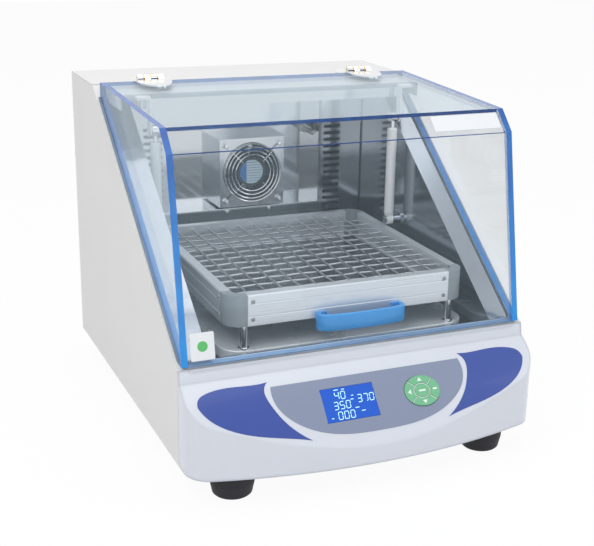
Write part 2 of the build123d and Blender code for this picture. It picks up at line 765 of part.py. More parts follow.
hood_web_y = hood_rear.X - 1.0
with BuildPart() as hinge_lid_leaves:
    for hinge_middle in (-hinge_x, hinge_x):
        leaf_plane = Plane(
            origin=(hinge_middle, hood_rear.X, hood_rear.Y), x_dir=(1, 0, 0), z_dir=(0, -top_slope.Y, top_slope.X)
        )
        with BuildSketch(leaf_plane):
            with Locations((0, -1.0)):
                Ellipse(leaf_half_width, leaf_reach - 8.0)
                Rectangle(200.0, 200.0, align=(Align.CENTER, Align.MIN), mode=Mode.SUBTRACT)
        extrude(amount=leaf_thickness)
        for start in knuckle_starts[1::2]:
            with BuildSketch(Plane.YZ.offset(hinge_middle + start)):
                Polygon(
                    (hinge_y, hinge_z + barrel_radius - 0.3),
                    (hood_web_y - 1.0, hood_rear.Y + leaf_thickness - 0.05),
                    (hood_web_y - 1.0, hood_rear.Y),
                    (hinge_y, hinge_z - 2.5),
                )
                with Locations((hinge_y, hinge_z)):
                    Circle(barrel_radius)
            extrude(amount=knuckle_length)
        with BuildSketch(Plane.YZ.offset(hinge_middle - barrel_length / 2)):
            with Locations((hinge_y, hinge_z)):
                Circle(hinge_pin_radius + running_gap)
        extrude(amount=barrel_length, mode=Mode.SUBTRACT)
hinge_lid_leaves.part.label = "hinge_lid_leaves"
export_step(hinge_lid_leaves.part, "parts/hinge_lid_leaves.step")

# Hinge pins with a collar in each gap between knuckles
with BuildPart() as hinge_pins:
    for hinge_middle in (-hinge_x, hinge_x):
        with BuildSketch(Plane.YZ.offset(hinge_middle - barrel_length / 2)):
            with Locations((hinge_y, hinge_z)):
                Circle(hinge_pin_radius)
        extrude(amount=barrel_length)
        for start in knuckle_starts[1:]:
            with BuildSketch(Plane.YZ.offset(hinge_middle + start - knuckle_gap + running_gap)):
                with Locations((hinge_y, hinge_z)):
                    Circle(barrel_radius - 0.4)
            extrude(amount=knuckle_gap - 2 * running_gap)
hinge_pins.part.label = "hinge_pins"
export_step(hinge_pins.part, "parts/hinge_pins.step")

# Gas struts: a white cylinder with an eye, and a rod with a piston and an upper eye
for side, side_name in ((-1, "left"), (1, "right")):
    with BuildPart() as strut_cylinder:
        with BuildSketch(Plane.XZ.offset(-strut_y)):
            Polygon(
                (0.0, strut_tube_low_z - 1.0),
                (strut_tube_radius - 1.5, strut_tube_low_z - 1.0),
                (strut_tube_radius, strut_tube_low_z + 1.0),
                (strut_tube_radius, strut_tube_high_z - 1.5),
                (strut_tube_radius - 1.5, strut_tube_high_z),
                (strut_rod_radius + running_gap, strut_tube_high_z),
                (strut_rod_radius + running_gap, strut_tube_high_z - 6.0),
                (strut_bore_radius, strut_tube_high_z - 6.0),
                (strut_bore_radius, strut_tube_low_z + 3.0),
                (0.0, strut_tube_low_z + 3.0),
            )
        revolve(axis=Axis((0, strut_y, 0), (0, 0, 1)))
        with BuildSketch(Plane.YZ.offset(-strut_eye_half)):
            with Locations((strut_y, strut_low_z)):
                Circle(7.0)
            Polygon(
                (strut_y - 5.0, strut_low_z),
                (strut_y + 5.0, strut_low_z),
                (strut_y + 5.0, strut_tube_low_z),
                (strut_y - 5.0, strut_tube_low_z),
            )
            with Locations((strut_y, strut_low_z)):
                Circle(strut_pin_radius + running_gap, mode=Mode.SUBTRACT)
        extrude(amount=2 * strut_eye_half)
    cylinder_name = f"strut_cylinder_{side_name}"
    cylinder = strut_cylinder.part.moved(Location((side * strut_x, 0, 0)))
    cylinder.label = cylinder_name
    export_step(cylinder, f"parts/{cylinder_name}.step")
    with BuildPart() as strut_rod:
        rod_low_z = strut_tube_low_z + 5.0
        with BuildSketch(Plane.XZ.offset(-strut_y)):
            Polygon(
                (0.0, rod_low_z),
                (strut_bore_radius - running_gap, rod_low_z),
                (strut_bore_radius - running_gap, rod_low_z + 7.0),
                (strut_rod_radius, rod_low_z + 7.0),
                (strut_rod_radius, strut_high_z),
                (0.0, strut_high_z),
            )
        revolve(axis=Axis((0, strut_y, 0), (0, 0, 1)))
        with BuildSketch(Plane.YZ.offset(-strut_eye_half)):
            with Locations((strut_y, strut_high_z)):
                Circle(7.0)
        extrude(amount=2 * strut_eye_half)
        with BuildSketch(Plane.YZ.offset(side * strut_eye_half)):
            with Locations((strut_y, strut_high_z)):
                Circle(strut_pin_radius)
        extrude(amount=side * 2.0)
    rod_name = f"strut_rod_{side_name}"
    rod = strut_rod.part.moved(Location((side * strut_x, 0, 0)))
    rod.label = rod_name
    export_step(rod, f"parts/{rod_name}.step")

# Strut brackets on the chamber walls: a plate with a headed pin through the cylinder's eye
with BuildPart() as strut_lower_brackets:
    with BuildSketch(Plane.YZ.offset(chamber_half)):
        with Locations((strut_y, strut_low_z)):
            RectangleRounded(26.0, 22.0, 4.0)
    extrude(amount=-3.0)
    with BuildSketch(Plane.YZ.offset(chamber_half - 3.0)):
        with Locations((strut_y, strut_low_z)):
            Circle(6.5)
    extrude(amount=-(chamber_half - 3.0 - strut_x - strut_eye_half - fit_gap))
    with BuildSketch(Plane.YZ.offset(chamber_half - 3.0)):
        with Locations((strut_y, strut_low_z)):
            Circle(strut_pin_radius)
    extrude(amount=-(chamber_half - 3.0 - strut_x + strut_eye_half + 2.0))
    with BuildSketch(Plane.YZ.offset(strut_x - strut_eye_half - fit_gap)):
        with Locations((strut_y, strut_low_z)):
            Circle(6.0)
    extrude(amount=-1.7)
    mirror(about=Plane.YZ)
strut_lower_brackets.part.label = "strut_lower_brackets"
export_step(strut_lower_brackets.part, "parts/strut_lower_brackets.step")

# Strut brackets under the hood's top panel: a foot and a plate beside the rod's stud
bracket_x = strut_x + strut_eye_half + 2.0 + fit_gap
with BuildPart() as strut_lid_brackets:
    with BuildSketch(Plane.YZ.offset(bracket_x)):
        foot_low = strut_y - 8.0
        foot_high = strut_y + 4.7
        under_low = hood_rear.Y - (hood_rear.X - foot_low) * top_slope.Y / top_slope.X - panel_thickness / top_slope.X
        under_high = hood_rear.Y - (hood_rear.X - foot_high) * top_slope.Y / top_slope.X - panel_thickness / top_slope.X
        Polygon(
            (foot_low, under_low),
            (foot_high, under_high),
            (foot_high, strut_high_z),
            (foot_low, strut_high_z),
        )
        with Locations((strut_y, strut_high_z)):
            Circle(8.0)
    extrude(amount=hood_bracket_plate)
    with BuildSketch(Plane.YZ.offset(bracket_x)):
        Polygon(
            (foot_low, under_low),
            (foot_high, under_high),
            (foot_high, under_high - 3.0),
            (foot_low, under_low - 3.0),
        )
    extrude(amount=18.0)
    mirror(about=Plane.YZ)
strut_lid_brackets.part.label = "strut_lid_brackets"
export_step(strut_lid_brackets.part, "parts/strut_lid_brackets.step")

# Fan box: a sheet duct from the back wall with a round opening in its front plate
fan_bottom_z = fan_z - fan_plate_height / 2
with BuildPart() as fan_box:
    with BuildSketch(Plane.XZ.offset(-liner_rear_y)):
        with Locations((fan_x, fan_z)):
            Rectangle(fan_plate_width, fan_plate_height)
    extrude(amount=liner_rear_y - fan_front_y)
    with BuildSketch(Plane.XZ.offset(-liner_rear_y)):
        with Locations((fan_x, fan_z)):
            Rectangle(fan_plate_width - 2 * liner_sheet, fan_plate_height - 2 * liner_sheet)
    extrude(amount=liner_rear_y - fan_front_y - liner_sheet, mode=Mode.SUBTRACT)
    with BuildSketch(Plane.XZ.offset(-fan_front_y - 5.0)):
        with Locations((fan_x, fan_z)):
            Circle(fan_bore_radius)
    extrude(amount=10.0, mode=Mode.SUBTRACT)
    with BuildSketch(Plane.XZ.offset(-liner_rear_y)):
        with Locations((fan_x, fan_z + fan_plate_height / 2)):
            Rectangle(fan_plate_width + 6.0, liner_sheet, align=(Align.CENTER, Align.MIN))
    extrude(amount=liner_rear_y - fan_front_y + 3.0)
fan_box.part.label = "fan_box"
export_step(fan_box.part, "parts/fan_box.step")

# Fan frame with corner holes, three spokes and a motor seat behind the rotor
frame_back_y = fan_front_y + liner_sheet + fan_frame_depth
with BuildPart() as fan_frame:
    with BuildSketch(Plane.XZ.offset(-frame_back_y)):
        with Locations((fan_x, fan_z)):
            RectangleRounded(fan_frame_size, fan_frame_size, 4.0)
            Circle(fan_bore_radius, mode=Mode.SUBTRACT)
            with GridLocations(2 * fan_screw_offset, 2 * fan_screw_offset, 2, 2):
                Circle(2.1, mode=Mode.SUBTRACT)
    extrude(amount=fan_frame_depth)
    with BuildSketch(Plane.XZ.offset(-frame_back_y)):
        with Locations((fan_x, fan_z)):
            Circle(fan_hub_radius)
            with PolarLocations(fan_bore_radius / 2, 3, start_angle=90):
                Rectangle(fan_bore_radius + 1.0, 4.0)
    extrude(amount=3.0)
    with BuildSketch(Plane.XZ.offset(-frame_back_y + 3.0)):
        with Locations((fan_x, fan_z)):
            Circle(2.5)
    extrude(amount=5.0)
fan_frame.part.label = "fan_frame"
export_step(fan_frame.part, "parts/fan_frame.step")

# Fan rotor: a hub cup with pitched blades
rotor_back_y = frame_back_y - 3.6
rotor_depth = 20.0
with BuildPart() as fan_rotor:
    with BuildSketch(Plane.XZ.offset(-rotor_back_y)):
        with Locations((fan_x, fan_z)):
            Circle(fan_hub_radius)
    extrude(amount=rotor_depth)
    with BuildSketch(Plane.XZ.offset(-rotor_back_y)):
        with Locations((fan_x, fan_z)):
            Circle(2.5 + running_gap)
    extrude(amount=8.0, mode=Mode.SUBTRACT)
    for blade in range(fan_blades):
        turn = 360.0 / fan_blades * blade
        blade_axis = Plane(origin=(fan_x, rotor_back_y - rotor_depth / 2, fan_z), z_dir=(0, -1, 0)).rotated((0, turn, 0))
        root_plane = Plane(origin=blade_axis.origin + blade_axis.x_dir * (fan_hub_radius - 2.0), z_dir=blade_axis.x_dir, x_dir=blade_axis.z_dir)
        tip_plane = root_plane.offset(fan_tip_radius - fan_hub_radius + 2.0)
        with BuildSketch(root_plane):
            Rectangle(20.0, 1.8, rotation=38)
        with BuildSketch(tip_plane):
            Rectangle(24.0, 1.4, rotation=55)
        loft()
fan_rotor.part.label = "fan_rotor"
export_step(fan_rotor.part, "parts/fan_rotor.step")

# Fan guard: four wire rings on four diagonal wires with eyes at the screws
guard_y = fan_front_y - 4.5
with BuildPart() as fan_guard:
    for share in (0.63, 0.76, 0.89, 1.0):
        ring_radius = (guard_radius - guard_wire) * share
        with BuildSketch(Plane.YZ.offset(fan_x)):
            with Locations((guard_y, fan_z + ring_radius)):
                RegularPolygon(guard_wire * 1.05, 6)
        revolve(axis=Axis((fan_x, 0, fan_z), (0, 1, 0)))
    for turn in range(4):
        angle = math.radians(45 + 90 * turn)
        across = Vector(math.cos(angle), 0, math.sin(angle))
        start = Vector(fan_x, guard_y + 1.4, fan_z) + across * (guard_radius * 0.5)
        wire_plane = Plane(origin=start, z_dir=across)
        with BuildSketch(wire_plane):
            RegularPolygon(guard_wire * 1.05, 6)
        extrude(amount=fan_screw_offset * math.sqrt(2) - guard_radius * 0.5)
    with BuildSketch(Plane.XZ.offset(-fan_front_y)):
        with Locations((fan_x, fan_z)):
            with GridLocations(2 * fan_screw_offset, 2 * fan_screw_offset, 2, 2):
                Circle(4.0)
    extrude(amount=3.6)
fan_guard.part.label = "fan_guard"
export_step(fan_guard.part, "parts/fan_guard.step")

# Heater: a finned tube in the plenum under the ledge
heater_y = 212.0
heater_z = 180.0
with BuildPart() as heater_element:
    with BuildSketch(Plane.YZ.offset(-150.0)):
        with Locations((heater_y, heater_z)):
            Circle(5.0)
    extrude(amount=300.0)
    for place in range(25):
        with BuildSketch(Plane.YZ.offset(-120.0 + 10.0 * place - 0.5)):
            with Locations((heater_y, heater_z)):
                Rectangle(24.0, 24.0)
        extrude(amount=1.0)
    for place in (-140.0, 138.0):
        with BuildSketch(Plane.YZ.offset(place)):
            with Locations((heater_y - 8.0, heater_z)):
                Rectangle(liner_rear_y - heater_y + 8.0, 16.0, align=(Align.MIN, Align.CENTER))
        extrude(amount=2.0)
heater_element.part.label = "heater_element"
export_step(heater_element.part, "parts/heater_element.step")

# Temperature probe: a bush on the back wall and a rod with a round tip
probe_x = 106.0
probe_z = 335.0
probe_length = 42.0
with BuildPart() as temperature_probe:
    with BuildSketch(Plane.XZ.offset(-liner_rear_y)):
        with Locations((probe_x, probe_z)):
            Circle(6.5)
    extrude(amount=6.0)
    with BuildSketch(Plane.XZ.offset(-liner_rear_y)):
        with Locations((probe_x, probe_z)):
            Circle(4.0)
    extrude(amount=probe_length)
    fillet(temperature_probe.faces().sort_by(Axis.Y)[0].edges(), radius=3.0)
temperature_probe.part.label = "temperature_probe"
export_step(temperature_probe.part, "parts/temperature_probe.step")

# Drive deck: a plate on two folded legs
deck_half = 150.0
deck_front_y = -120.0
deck_rear_y = 150.0
deck_foot = 22.0
pan_floor_z = foot_height + sheet
with BuildPart() as drive_deck:
    with BuildSketch(Plane.XZ.offset(-deck_rear_y)):
        Polygon(
            (-deck_half - deck_foot, pan_floor_z),
            (-deck_half - deck_foot, pan_floor_z + deck_sheet),
            (-deck_half, pan_floor_z + deck_sheet),
            (-deck_half, deck_top_z),
            (deck_half, deck_top_z),
            (deck_half, pan_floor_z + deck_sheet),
            (deck_half + deck_foot, pan_floor_z + deck_sheet),
            (deck_half + deck_foot, pan_floor_z),
            (deck_half - deck_sheet, pan_floor_z),
            (deck_half - deck_sheet, deck_top_z - deck_sheet),
            (-deck_half + deck_sheet, deck_top_z - deck_sheet),
            (-deck_half + deck_sheet, pan_floor_z),
        )
    extrude(amount=deck_rear_y - deck_front_y)
    with BuildSketch(Plane.XY.offset(deck_top_z - deck_sheet)):
        with Locations((0, crank_y)):
            Circle(16.0)
        with Locations((-idler_x, idler_y), (idler_x, idler_y)):
            Circle(13.0)
        with Locations((0, motor_y)):
            Circle(11.0)
    extrude(amount=deck_sheet, mode=Mode.SUBTRACT)
drive_deck.part.label = "drive_deck"
export_step(drive_deck.part, "parts/drive_deck.step")

# Bearing cartridges: flanged bodies that hang in the deck
with BuildPart() as bearing_housings:
    for (x, y), body_radius, bore_radius, depth in (
        (shaft_places[0], 15.9, spindle_radius, 30.0),
        (shaft_places[1], 12.9, idler_spindle_radius, 20.0),
        (shaft_places[2], 12.9, idler_spindle_radius, 20.0),
    ):
        with BuildSketch(Plane.XY.offset(deck_top_z)):
            with Locations((x, y)):
                Circle(body_radius + 7.0)
        extrude(amount=2.5)
        with BuildSketch(Plane.XY.offset(deck_top_z)):
            with Locations((x, y)):
                Circle(body_radius)
        extrude(amount=-depth)
        with BuildSketch(Plane.XY.offset(deck_top_z + 2.5)):
            with Locations((x, y)):
                Circle(bore_radius + running_gap)
        extrude(amount=-depth - 2.5, mode=Mode.SUBTRACT)
bearing_housings.part.label = "bearing_housings"
export_step(bearing_housings.part, "parts/bearing_housings.step")

# Drive motor under the deck, with a collar in the deck's hole
motor_height = 56.0
with BuildPart() as drive_motor:
    with BuildSketch(Plane.XY.offset(deck_top_z - deck_sheet)):
        with Locations((0, motor_y)):
            Circle(motor_radius)
    extrude(amount=-motor_height)
    fillet(drive_motor.edges().sort_by(Axis.Z)[0], radius=4.0)
    with BuildSketch(Plane.XY.offset(deck_top_z - deck_sheet)):
        with Locations((0, motor_y)):
            Circle(10.9)
    extrude(amount=deck_sheet)
    with BuildSketch(Plane.XY.offset(deck_top_z)):
        with Locations((0, motor_y)):
            Circle(4.0 + running_gap)
    extrude(amount=-12.0, mode=Mode.SUBTRACT)
drive_motor.part.label = "drive_motor"
export_step(drive_motor.part, "parts/drive_motor.step")

# Motor pulley on its shaft
with BuildPart() as motor_pulley:
    with BuildSketch(Plane.XY.offset(pulley_bottom_z)):
        with Locations((0, motor_y)):
            Circle(motor_pulley_radius)
    extrude(amount=pulley_height)
    with BuildSketch(Plane.XY.offset(deck_top_z - 11.0)):
        with Locations((0, motor_y)):
            Circle(4.0)
    extrude(amount=pulley_bottom_z - deck_top_z + 11.0)
    with BuildSketch(Plane.XY.offset(pulley_bottom_z)):
        with Locations((0, motor_y)):
            Circle(motor_pulley_radius + 2.0)
    extrude(amount=0.8)
motor_pulley.part.label = "motor_pulley"
export_step(motor_pulley.part, "parts/motor_pulley.step")

# Drive belt round both pulleys
with BuildPart() as drive_belt:
    for grow, mode in ((fit_gap + 2.0, Mode.ADD), (fit_gap, Mode.SUBTRACT)):
        with BuildSketch(Plane.XY.offset(pulley_bottom_z + 1.2)):
            with Locations((0, crank_y)):
                Circle(drive_pulley_radius + grow)
            with Locations((0, motor_y)):
                Circle(motor_pulley_radius + grow)
            make_hull()
        extrude(amount=pulley_height - 2.4, mode=mode)
drive_belt.part.label = "drive_belt"
export_step(drive_belt.part, "parts/drive_belt.step")

# Drive pulley, with lightening holes
with BuildPart() as drive_pulley:
    with BuildSketch(Plane.XY.offset(pulley_bottom_z)):
        with Locations((0, crank_y)):
            Circle(drive_pulley_radius)
            Circle(spindle_radius, mode=Mode.SUBTRACT)
            with PolarLocations(26.0, 6):
                Circle(8.0, mode=Mode.SUBTRACT)
    extrude(amount=pulley_height)
drive_pulley.part.label = "drive_pulley"
export_step(drive_pulley.part, "parts/drive_pulley.step")

# Main crank: spindle, counterweight, web and pin
pin_top_z = platform_top_z - platform_sheet - fit_gap
with BuildPart() as drive_crank:
    with BuildSketch(Plane.XY.offset(deck_top_z - 28.0)):
        with Locations((0, crank_y)):
            Circle(spindle_radius)
    extrude(amount=web_bottom_z - deck_top_z + 28.0)
    with BuildSketch(Plane.XY.offset(pulley_bottom_z + pulley_height + 0.5)):
        with Locations((0, crank_y)):
            Circle(55.0)
            Rectangle(120.0, 120.0, align=(Align.MIN, Align.CENTER), mode=Mode.SUBTRACT)
            Circle(14.0)
    extrude(amount=10.0)
    with BuildSketch(Plane.XY.offset(web_bottom_z)):
        with Locations((orbit_radius / 2, crank_y)):
            SlotCenterToCenter(orbit_radius, 26.0)
    extrude(amount=web_top_z - web_bottom_z)
    with BuildSketch(Plane.XY.offset(web_top_z)):
        with Locations((orbit_radius, crank_y)):
            Circle(crank_pin_radius)
    extrude(amount=pin_top_z - web_top_z)
drive_crank.part.label = "drive_crank"
export_step(drive_crank.part, "parts/drive_crank.step")

# Idler cranks that keep the platform level and square
for side, side_name in ((-1, "left"), (1, "right")):
    with BuildPart() as idler_crank:
        with BuildSketch(Plane.XY.offset(deck_top_z - 18.0)):
            with Locations((side * idler_x, idler_y)):
                Circle(idler_spindle_radius)
        extrude(amount=web_bottom_z - deck_top_z + 18.0)
        with BuildSketch(Plane.XY.offset(web_bottom_z)):
            with Locations((side * idler_x + orbit_radius / 2, idler_y)):
                SlotCenterToCenter(orbit_radius, 24.0)
        extrude(amount=web_top_z - web_bottom_z)
        with BuildSketch(Plane.XY.offset(web_top_z)):
            with Locations((side * idler_x + orbit_radius, idler_y)):
                Circle(crank_pin_radius)
        extrude(amount=pin_top_z - web_top_z)
    idler_crank.part.label = f"idler_crank_{side_name}"
    export_step(idler_crank.part, f"parts/idler_crank_{side_name}.step")

# Platform plate with a folded rim and three hubs for the crank pins
platform_x = orbit_radius
hub_places = [(x + orbit_radius, y) for x, y in shaft_places]
pin_fit_gap = 0.1
with BuildPart() as platform_plate:
    with BuildSketch(Plane.XY.offset(platform_top_z)):
        with Locations((platform_x, tray_centre_y)):
            RectangleRounded(platform_size, platform_size, platform_corner)
    extrude(amount=-platform_rim)
    fillet(platform_plate.edges().group_by(Axis.Z)[-1], radius=1.5)
    with BuildSketch(Plane.XY.offset(platform_top_z - platform_sheet)):
        with Locations((platform_x, tray_centre_y)):
            inner_size = platform_size - 2 * platform_sheet
            RectangleRounded(inner_size, inner_size, platform_corner - platform_sheet)
    extrude(amount=-platform_rim, mode=Mode.SUBTRACT)
    with BuildSketch(Plane.XY.offset(web_top_z + 0.6)):
        with Locations(*hub_places):
            Circle(14.0)
            Circle(crank_pin_radius + pin_fit_gap, mode=Mode.SUBTRACT)
    extrude(amount=platform_top_z - platform_sheet - web_top_z - 0.6)
platform_plate.part.label = "platform_plate"
export_step(platform_plate.part, "parts/platform_plate.step")

# Posts between platform and tray
post_x = 141.0
post_front_y = -154.0
post_rear_y = 2 * tray_centre_y - post_front_y
with BuildPart() as tray_posts:
    post_places = [(platform_x + x, y) for x in (-post_x, post_x) for y in (post_front_y, post_rear_y)]
    with BuildSketch(Plane.XY.offset(platform_top_z)):
        with Locations(*post_places):
            Circle(5.0)
    extrude(amount=tray_bottom_z - platform_top_z)
    with BuildSketch(Plane.XY.offset(platform_top_z)):
        with Locations(*post_places):
            Circle(7.0)
    extrude(amount=2.0)
tray_posts.part.label = "tray_posts"
export_step(tray_posts.part, "parts/tray_posts.step")

# Tray rails: grooved extrusions between the corner castings
rail_length = tray_size - 2 * tray_corner_leg
rail_outline = [
    (0.0, tray_bottom_z),
    (0.0, 190.0),
    (0.8, 191.0),
    (0.0, 192.0),
    (0.0, 206.0),
    (0.8, 207.0),
    (0.0, 208.0),
    (0.0, tray_top_z - 1.5),
    (1.5, tray_top_z),
    (rail_width, tray_top_z),
    (rail_width, tray_top_z - 12.0),
    (rail_width - 3.0, tray_top_z - 13.0),
    (rail_width - 3.0, tray_bottom_z + 4.0),
    (rail_width, tray_bottom_z + 3.0),
    (rail_width, tray_bottom_z),
]
with BuildPart() as front_rail:
    with BuildSketch(Plane.YZ.offset(-rail_length / 2)):
        Polygon(*[(y - tray_size / 2, z) for y, z in rail_outline])
    extrude(amount=rail_length)
with BuildPart() as tray_rails:
    with Locations((platform_x, tray_centre_y, 0)):
        with PolarLocations(0.0, 4):
            add(front_rail.part)
tray_rails.part.label = "tray_rails"
export_step(tray_rails.part, "parts/tray_rails.step")

# Tray corner castings
with BuildPart() as tray_corners:
    with BuildSketch(Plane.XY.offset(tray_bottom_z)):
        with Locations((platform_x, tray_centre_y)):
            RectangleRounded(tray_size, tray_size, tray_corner_radius)
            inner = tray_size - 2 * rail_width
            RectangleRounded(inner, inner, tray_corner_radius - rail_width, mode=Mode.SUBTRACT)
            Rectangle(rail_length, 2 * tray_size, mode=Mode.SUBTRACT)
            Rectangle(2 * tray_size, rail_length, mode=Mode.SUBTRACT)
    extrude(amount=tray_top_z - tray_bottom_z)
tray_corners.part.label = "tray_corners"
export_step(tray_corners.part, "parts/tray_corners.step")

# Tray base sheet inside the rails
with BuildPart() as tray_base:
    with BuildSketch(Plane.XY.offset(tray_bottom_z)):
        with Locations((platform_x, tray_centre_y)):
            base_size = tray_size - 2 * rail_width - 2 * running_gap
            RectangleRounded(base_size, base_size, tray_corner_radius - rail_width)
    extrude(amount=2.0)
tray_base.part.label = "tray_base"
export_step(tray_base.part, "parts/tray_base.step")

# Crossing holding springs, as straight bars of the springs' outer diameter
spring_pitch = (tray_size - 2 * rail_width) / (spring_count + 1)
spring_length = tray_size - 2 * rail_width
spring_low_z = 209.0
spring_high_z = spring_low_z + 2 * spring_radius + 0.1
with BuildPart() as tray_springs:
    with BuildSketch(Plane.YZ.offset(platform_x - spring_length / 2)):
        with Locations((tray_centre_y, spring_low_z)):
            with GridLocations(spring_pitch, 0, spring_count, 1):
                RegularPolygon(spring_radius, 8)
    extrude(amount=spring_length)
    with BuildSketch(Plane.XZ.offset(-tray_centre_y - spring_length / 2)):
        with Locations((platform_x, spring_high_z)):
            with GridLocations(spring_pitch, 0, spring_count, 1):
                RegularPolygon(spring_radius, 8)
    extrude(amount=spring_length)
tray_springs.part.label = "tray_springs"
export_step(tray_springs.part, "parts/tray_springs.step")

# Bow handle on the front rail
handle_x = platform_x + handle_shift
rail_face_y = tray_centre_y - tray_size / 2
handle_low_z = 163.5
with BuildPart() as tray_handle:
    with BuildSketch(Plane.XY.offset(handle_low_z)):
        half = handle_width / 2
        with BuildLine():
            FilletPolyline(
                (handle_x - half, rail_face_y),
                (handle_x - half + 4.0, rail_face_y - handle_bow + 4.0),
                (handle_x, rail_face_y - handle_bow - 1.5),
                (handle_x + half - 4.0, rail_face_y - handle_bow + 4.0),
                (handle_x + half, rail_face_y),
                radius=(12.0, 150.0, 12.0),
            )
        trace(line_width=handle_strip)
    extrude(amount=handle_height)
    for side in (-1, 1):
        with BuildSketch(Plane.XY.offset(handle_low_z)):
            with Locations((handle_x + side * (half - 7.0), rail_face_y - 2.2)):
                Rectangle(14.0, handle_strip)
        extrude(amount=handle_height + 6.0)
    with BuildSketch(Plane.XY.offset(handle_low_z - 1.0)):
        with Locations((handle_x, rail_face_y)):
            Rectangle(2 * handle_width, 20.0, align=(Align.CENTER, Align.MIN))
    extrude(amount=40.0, mode=Mode.SUBTRACT)
tray_handle.part.label = "tray_handle"
export_step(tray_handle.part, "parts/tray_handle.step")
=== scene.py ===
import bpy
import math
from mathutils import Matrix, Vector


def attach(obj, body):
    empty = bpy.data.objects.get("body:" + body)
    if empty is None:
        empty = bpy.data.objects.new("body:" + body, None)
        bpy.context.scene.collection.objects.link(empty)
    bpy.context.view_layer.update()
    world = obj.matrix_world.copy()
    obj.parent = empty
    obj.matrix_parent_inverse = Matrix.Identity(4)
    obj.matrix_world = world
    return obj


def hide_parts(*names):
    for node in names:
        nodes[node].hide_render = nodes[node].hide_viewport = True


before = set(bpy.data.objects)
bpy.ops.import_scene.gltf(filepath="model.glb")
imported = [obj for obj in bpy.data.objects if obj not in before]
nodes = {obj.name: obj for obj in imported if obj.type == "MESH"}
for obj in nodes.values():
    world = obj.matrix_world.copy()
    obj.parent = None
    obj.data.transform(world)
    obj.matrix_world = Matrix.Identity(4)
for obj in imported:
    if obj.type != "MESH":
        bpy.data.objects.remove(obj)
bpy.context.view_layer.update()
MM = 0.001

# The camera stands left of the machine, above it, and looks down at the front corner.
CAMERA_AT = Vector((-0.58507, -1.38034, 0.67332))
CAMERA_YAW = math.radians(-24.74)
CAMERA_PITCH = math.radians(-18.46)
CAMERA_ROLL = math.radians(1.52)
CAMERA_LENS = 70.396
CAMERA_SHIFT = (-0.0535, 0.0145)

# Lengths are in metres and colours are linear.
FORWARD, UP = (0, -1, 0), (0, 0, 1)
FAN_X, FAN_Z = 0.009, 0.2815
WHITE = (0.73, 0.725, 0.715)
FASCIA_WHITE = (0.66, 0.685, 0.75)
STEEL = (0.62, 0.64, 0.66)
LCD_BLUE = (0.002, 0.075, 0.46)
LCD_PALE = (0.45, 0.78, 0.95)

# Clear sheet. A face is an edge if its normal lines up little with the panel's: fully so below
# the first share, and not at all above the second. The edges' blue is their own tint; their run from
# bright low down to dark higher up is painted light.
ACRYLIC_TINT = (0.52, 0.66, 0.76)
EDGE_DARK = (0.004, 0.035, 0.28)
EDGE_BRIGHT = (0.012, 0.27, 0.74)
EDGE_FACING = (0.6, 0.9)
PAINTED_GLOW_HEIGHTS = (0.16, 0.42)
EDGE_ALPHA = 0.98
EDGE_ROUGHNESS = 0.18
SHEET_ROUGHNESS = 0.03
SHEET_METALLIC = 0.6
GLOSS_POWER = 4.5
PANEL_HAZE, CHEEK_HAZE = 0.05, 0.13

# Control film. Its grey panel has straight sides at the top and closes in a half ellipse below.
FILM_GREY = (0.225, 0.265, 0.375)
FILM_BLUE = (0.030, 0.068, 0.32)
FILM_UP = (0, 0.6676, 0.7445)
FILM_UP_SHIFT = 0.0907
GREY_HALF_WIDTH = 0.1275
GREY_ROUND_BELOW = 0.018
GREY_ROUND_DEPTH = 0.062


def make_camera():
    """A long lens at the place that the photograph was taken from."""
    forward = Vector((
        -math.sin(CAMERA_YAW) * math.cos(CAMERA_PITCH),
        math.cos(CAMERA_YAW) * math.cos(CAMERA_PITCH),
        math.sin(CAMERA_PITCH),
    ))
    level = forward.cross(Vector((0, 0, 1))).normalized()
    raised = level.cross(forward)
    right = level * math.cos(CAMERA_ROLL) + raised * math.sin(CAMERA_ROLL)
    up = raised * math.cos(CAMERA_ROLL) - level * math.sin(CAMERA_ROLL)
    data = bpy.data.cameras.new("camera")
    data.sensor_width = 36.0
    data.lens = CAMERA_LENS
    data.shift_x, data.shift_y = CAMERA_SHIFT
    camera = bpy.data.objects.new("camera", data)
    camera.matrix_world = Matrix((
        (right.x, up.x, -forward.x, CAMERA_AT.x),
        (right.y, up.y, -forward.y, CAMERA_AT.y),
        (right.z, up.z, -forward.z, CAMERA_AT.z),
        (0, 0, 0, 1),
    ))
    bpy.context.scene.collection.objects.link(camera)
    bpy.context.scene.camera = camera


def add_node(tree, kind, **values):
    """A shader node with its input values or properties set by name."""
    node = tree.nodes.new(kind)
    for key, value in values.items():
        if key in node.inputs:
            node.inputs[key].default_value = value
        else:
            setattr(node, key, value)
    return node


def new_material(name, colour, roughness, metallic=0.0, **values):
    """A Principled material and its shader node."""
    material = bpy.data.materials.new(name)
    material.use_nodes = True
    shader = material.node_tree.nodes["Principled BSDF"]
    shader.inputs["Base Color"].default_value = (*colour, 1.0)
    shader.inputs["Roughness"].default_value = roughness
    shader.inputs["Metallic"].default_value = metallic
    for key, value in values.items():
        shader.inputs[key.replace("_", " ")].default_value = value
    return material, shader


def noise(tree, scale, stretch=(1, 1, 1), detail=3.0):
    """Noise in the object's own coordinates, stretched by axis."""
    place = add_node(tree, "ShaderNodeTexCoord")
    mapping = add_node(tree, "ShaderNodeMapping", Scale=stretch)
    texture = add_node(tree, "ShaderNodeTexNoise", Scale=scale, Detail=detail)
    tree.links.new(place.outputs["Object"], mapping.inputs["Vector"])
    tree.links.new(mapping.outputs["Vector"], texture.inputs["Vector"])
    return texture.outputs["Fac"]


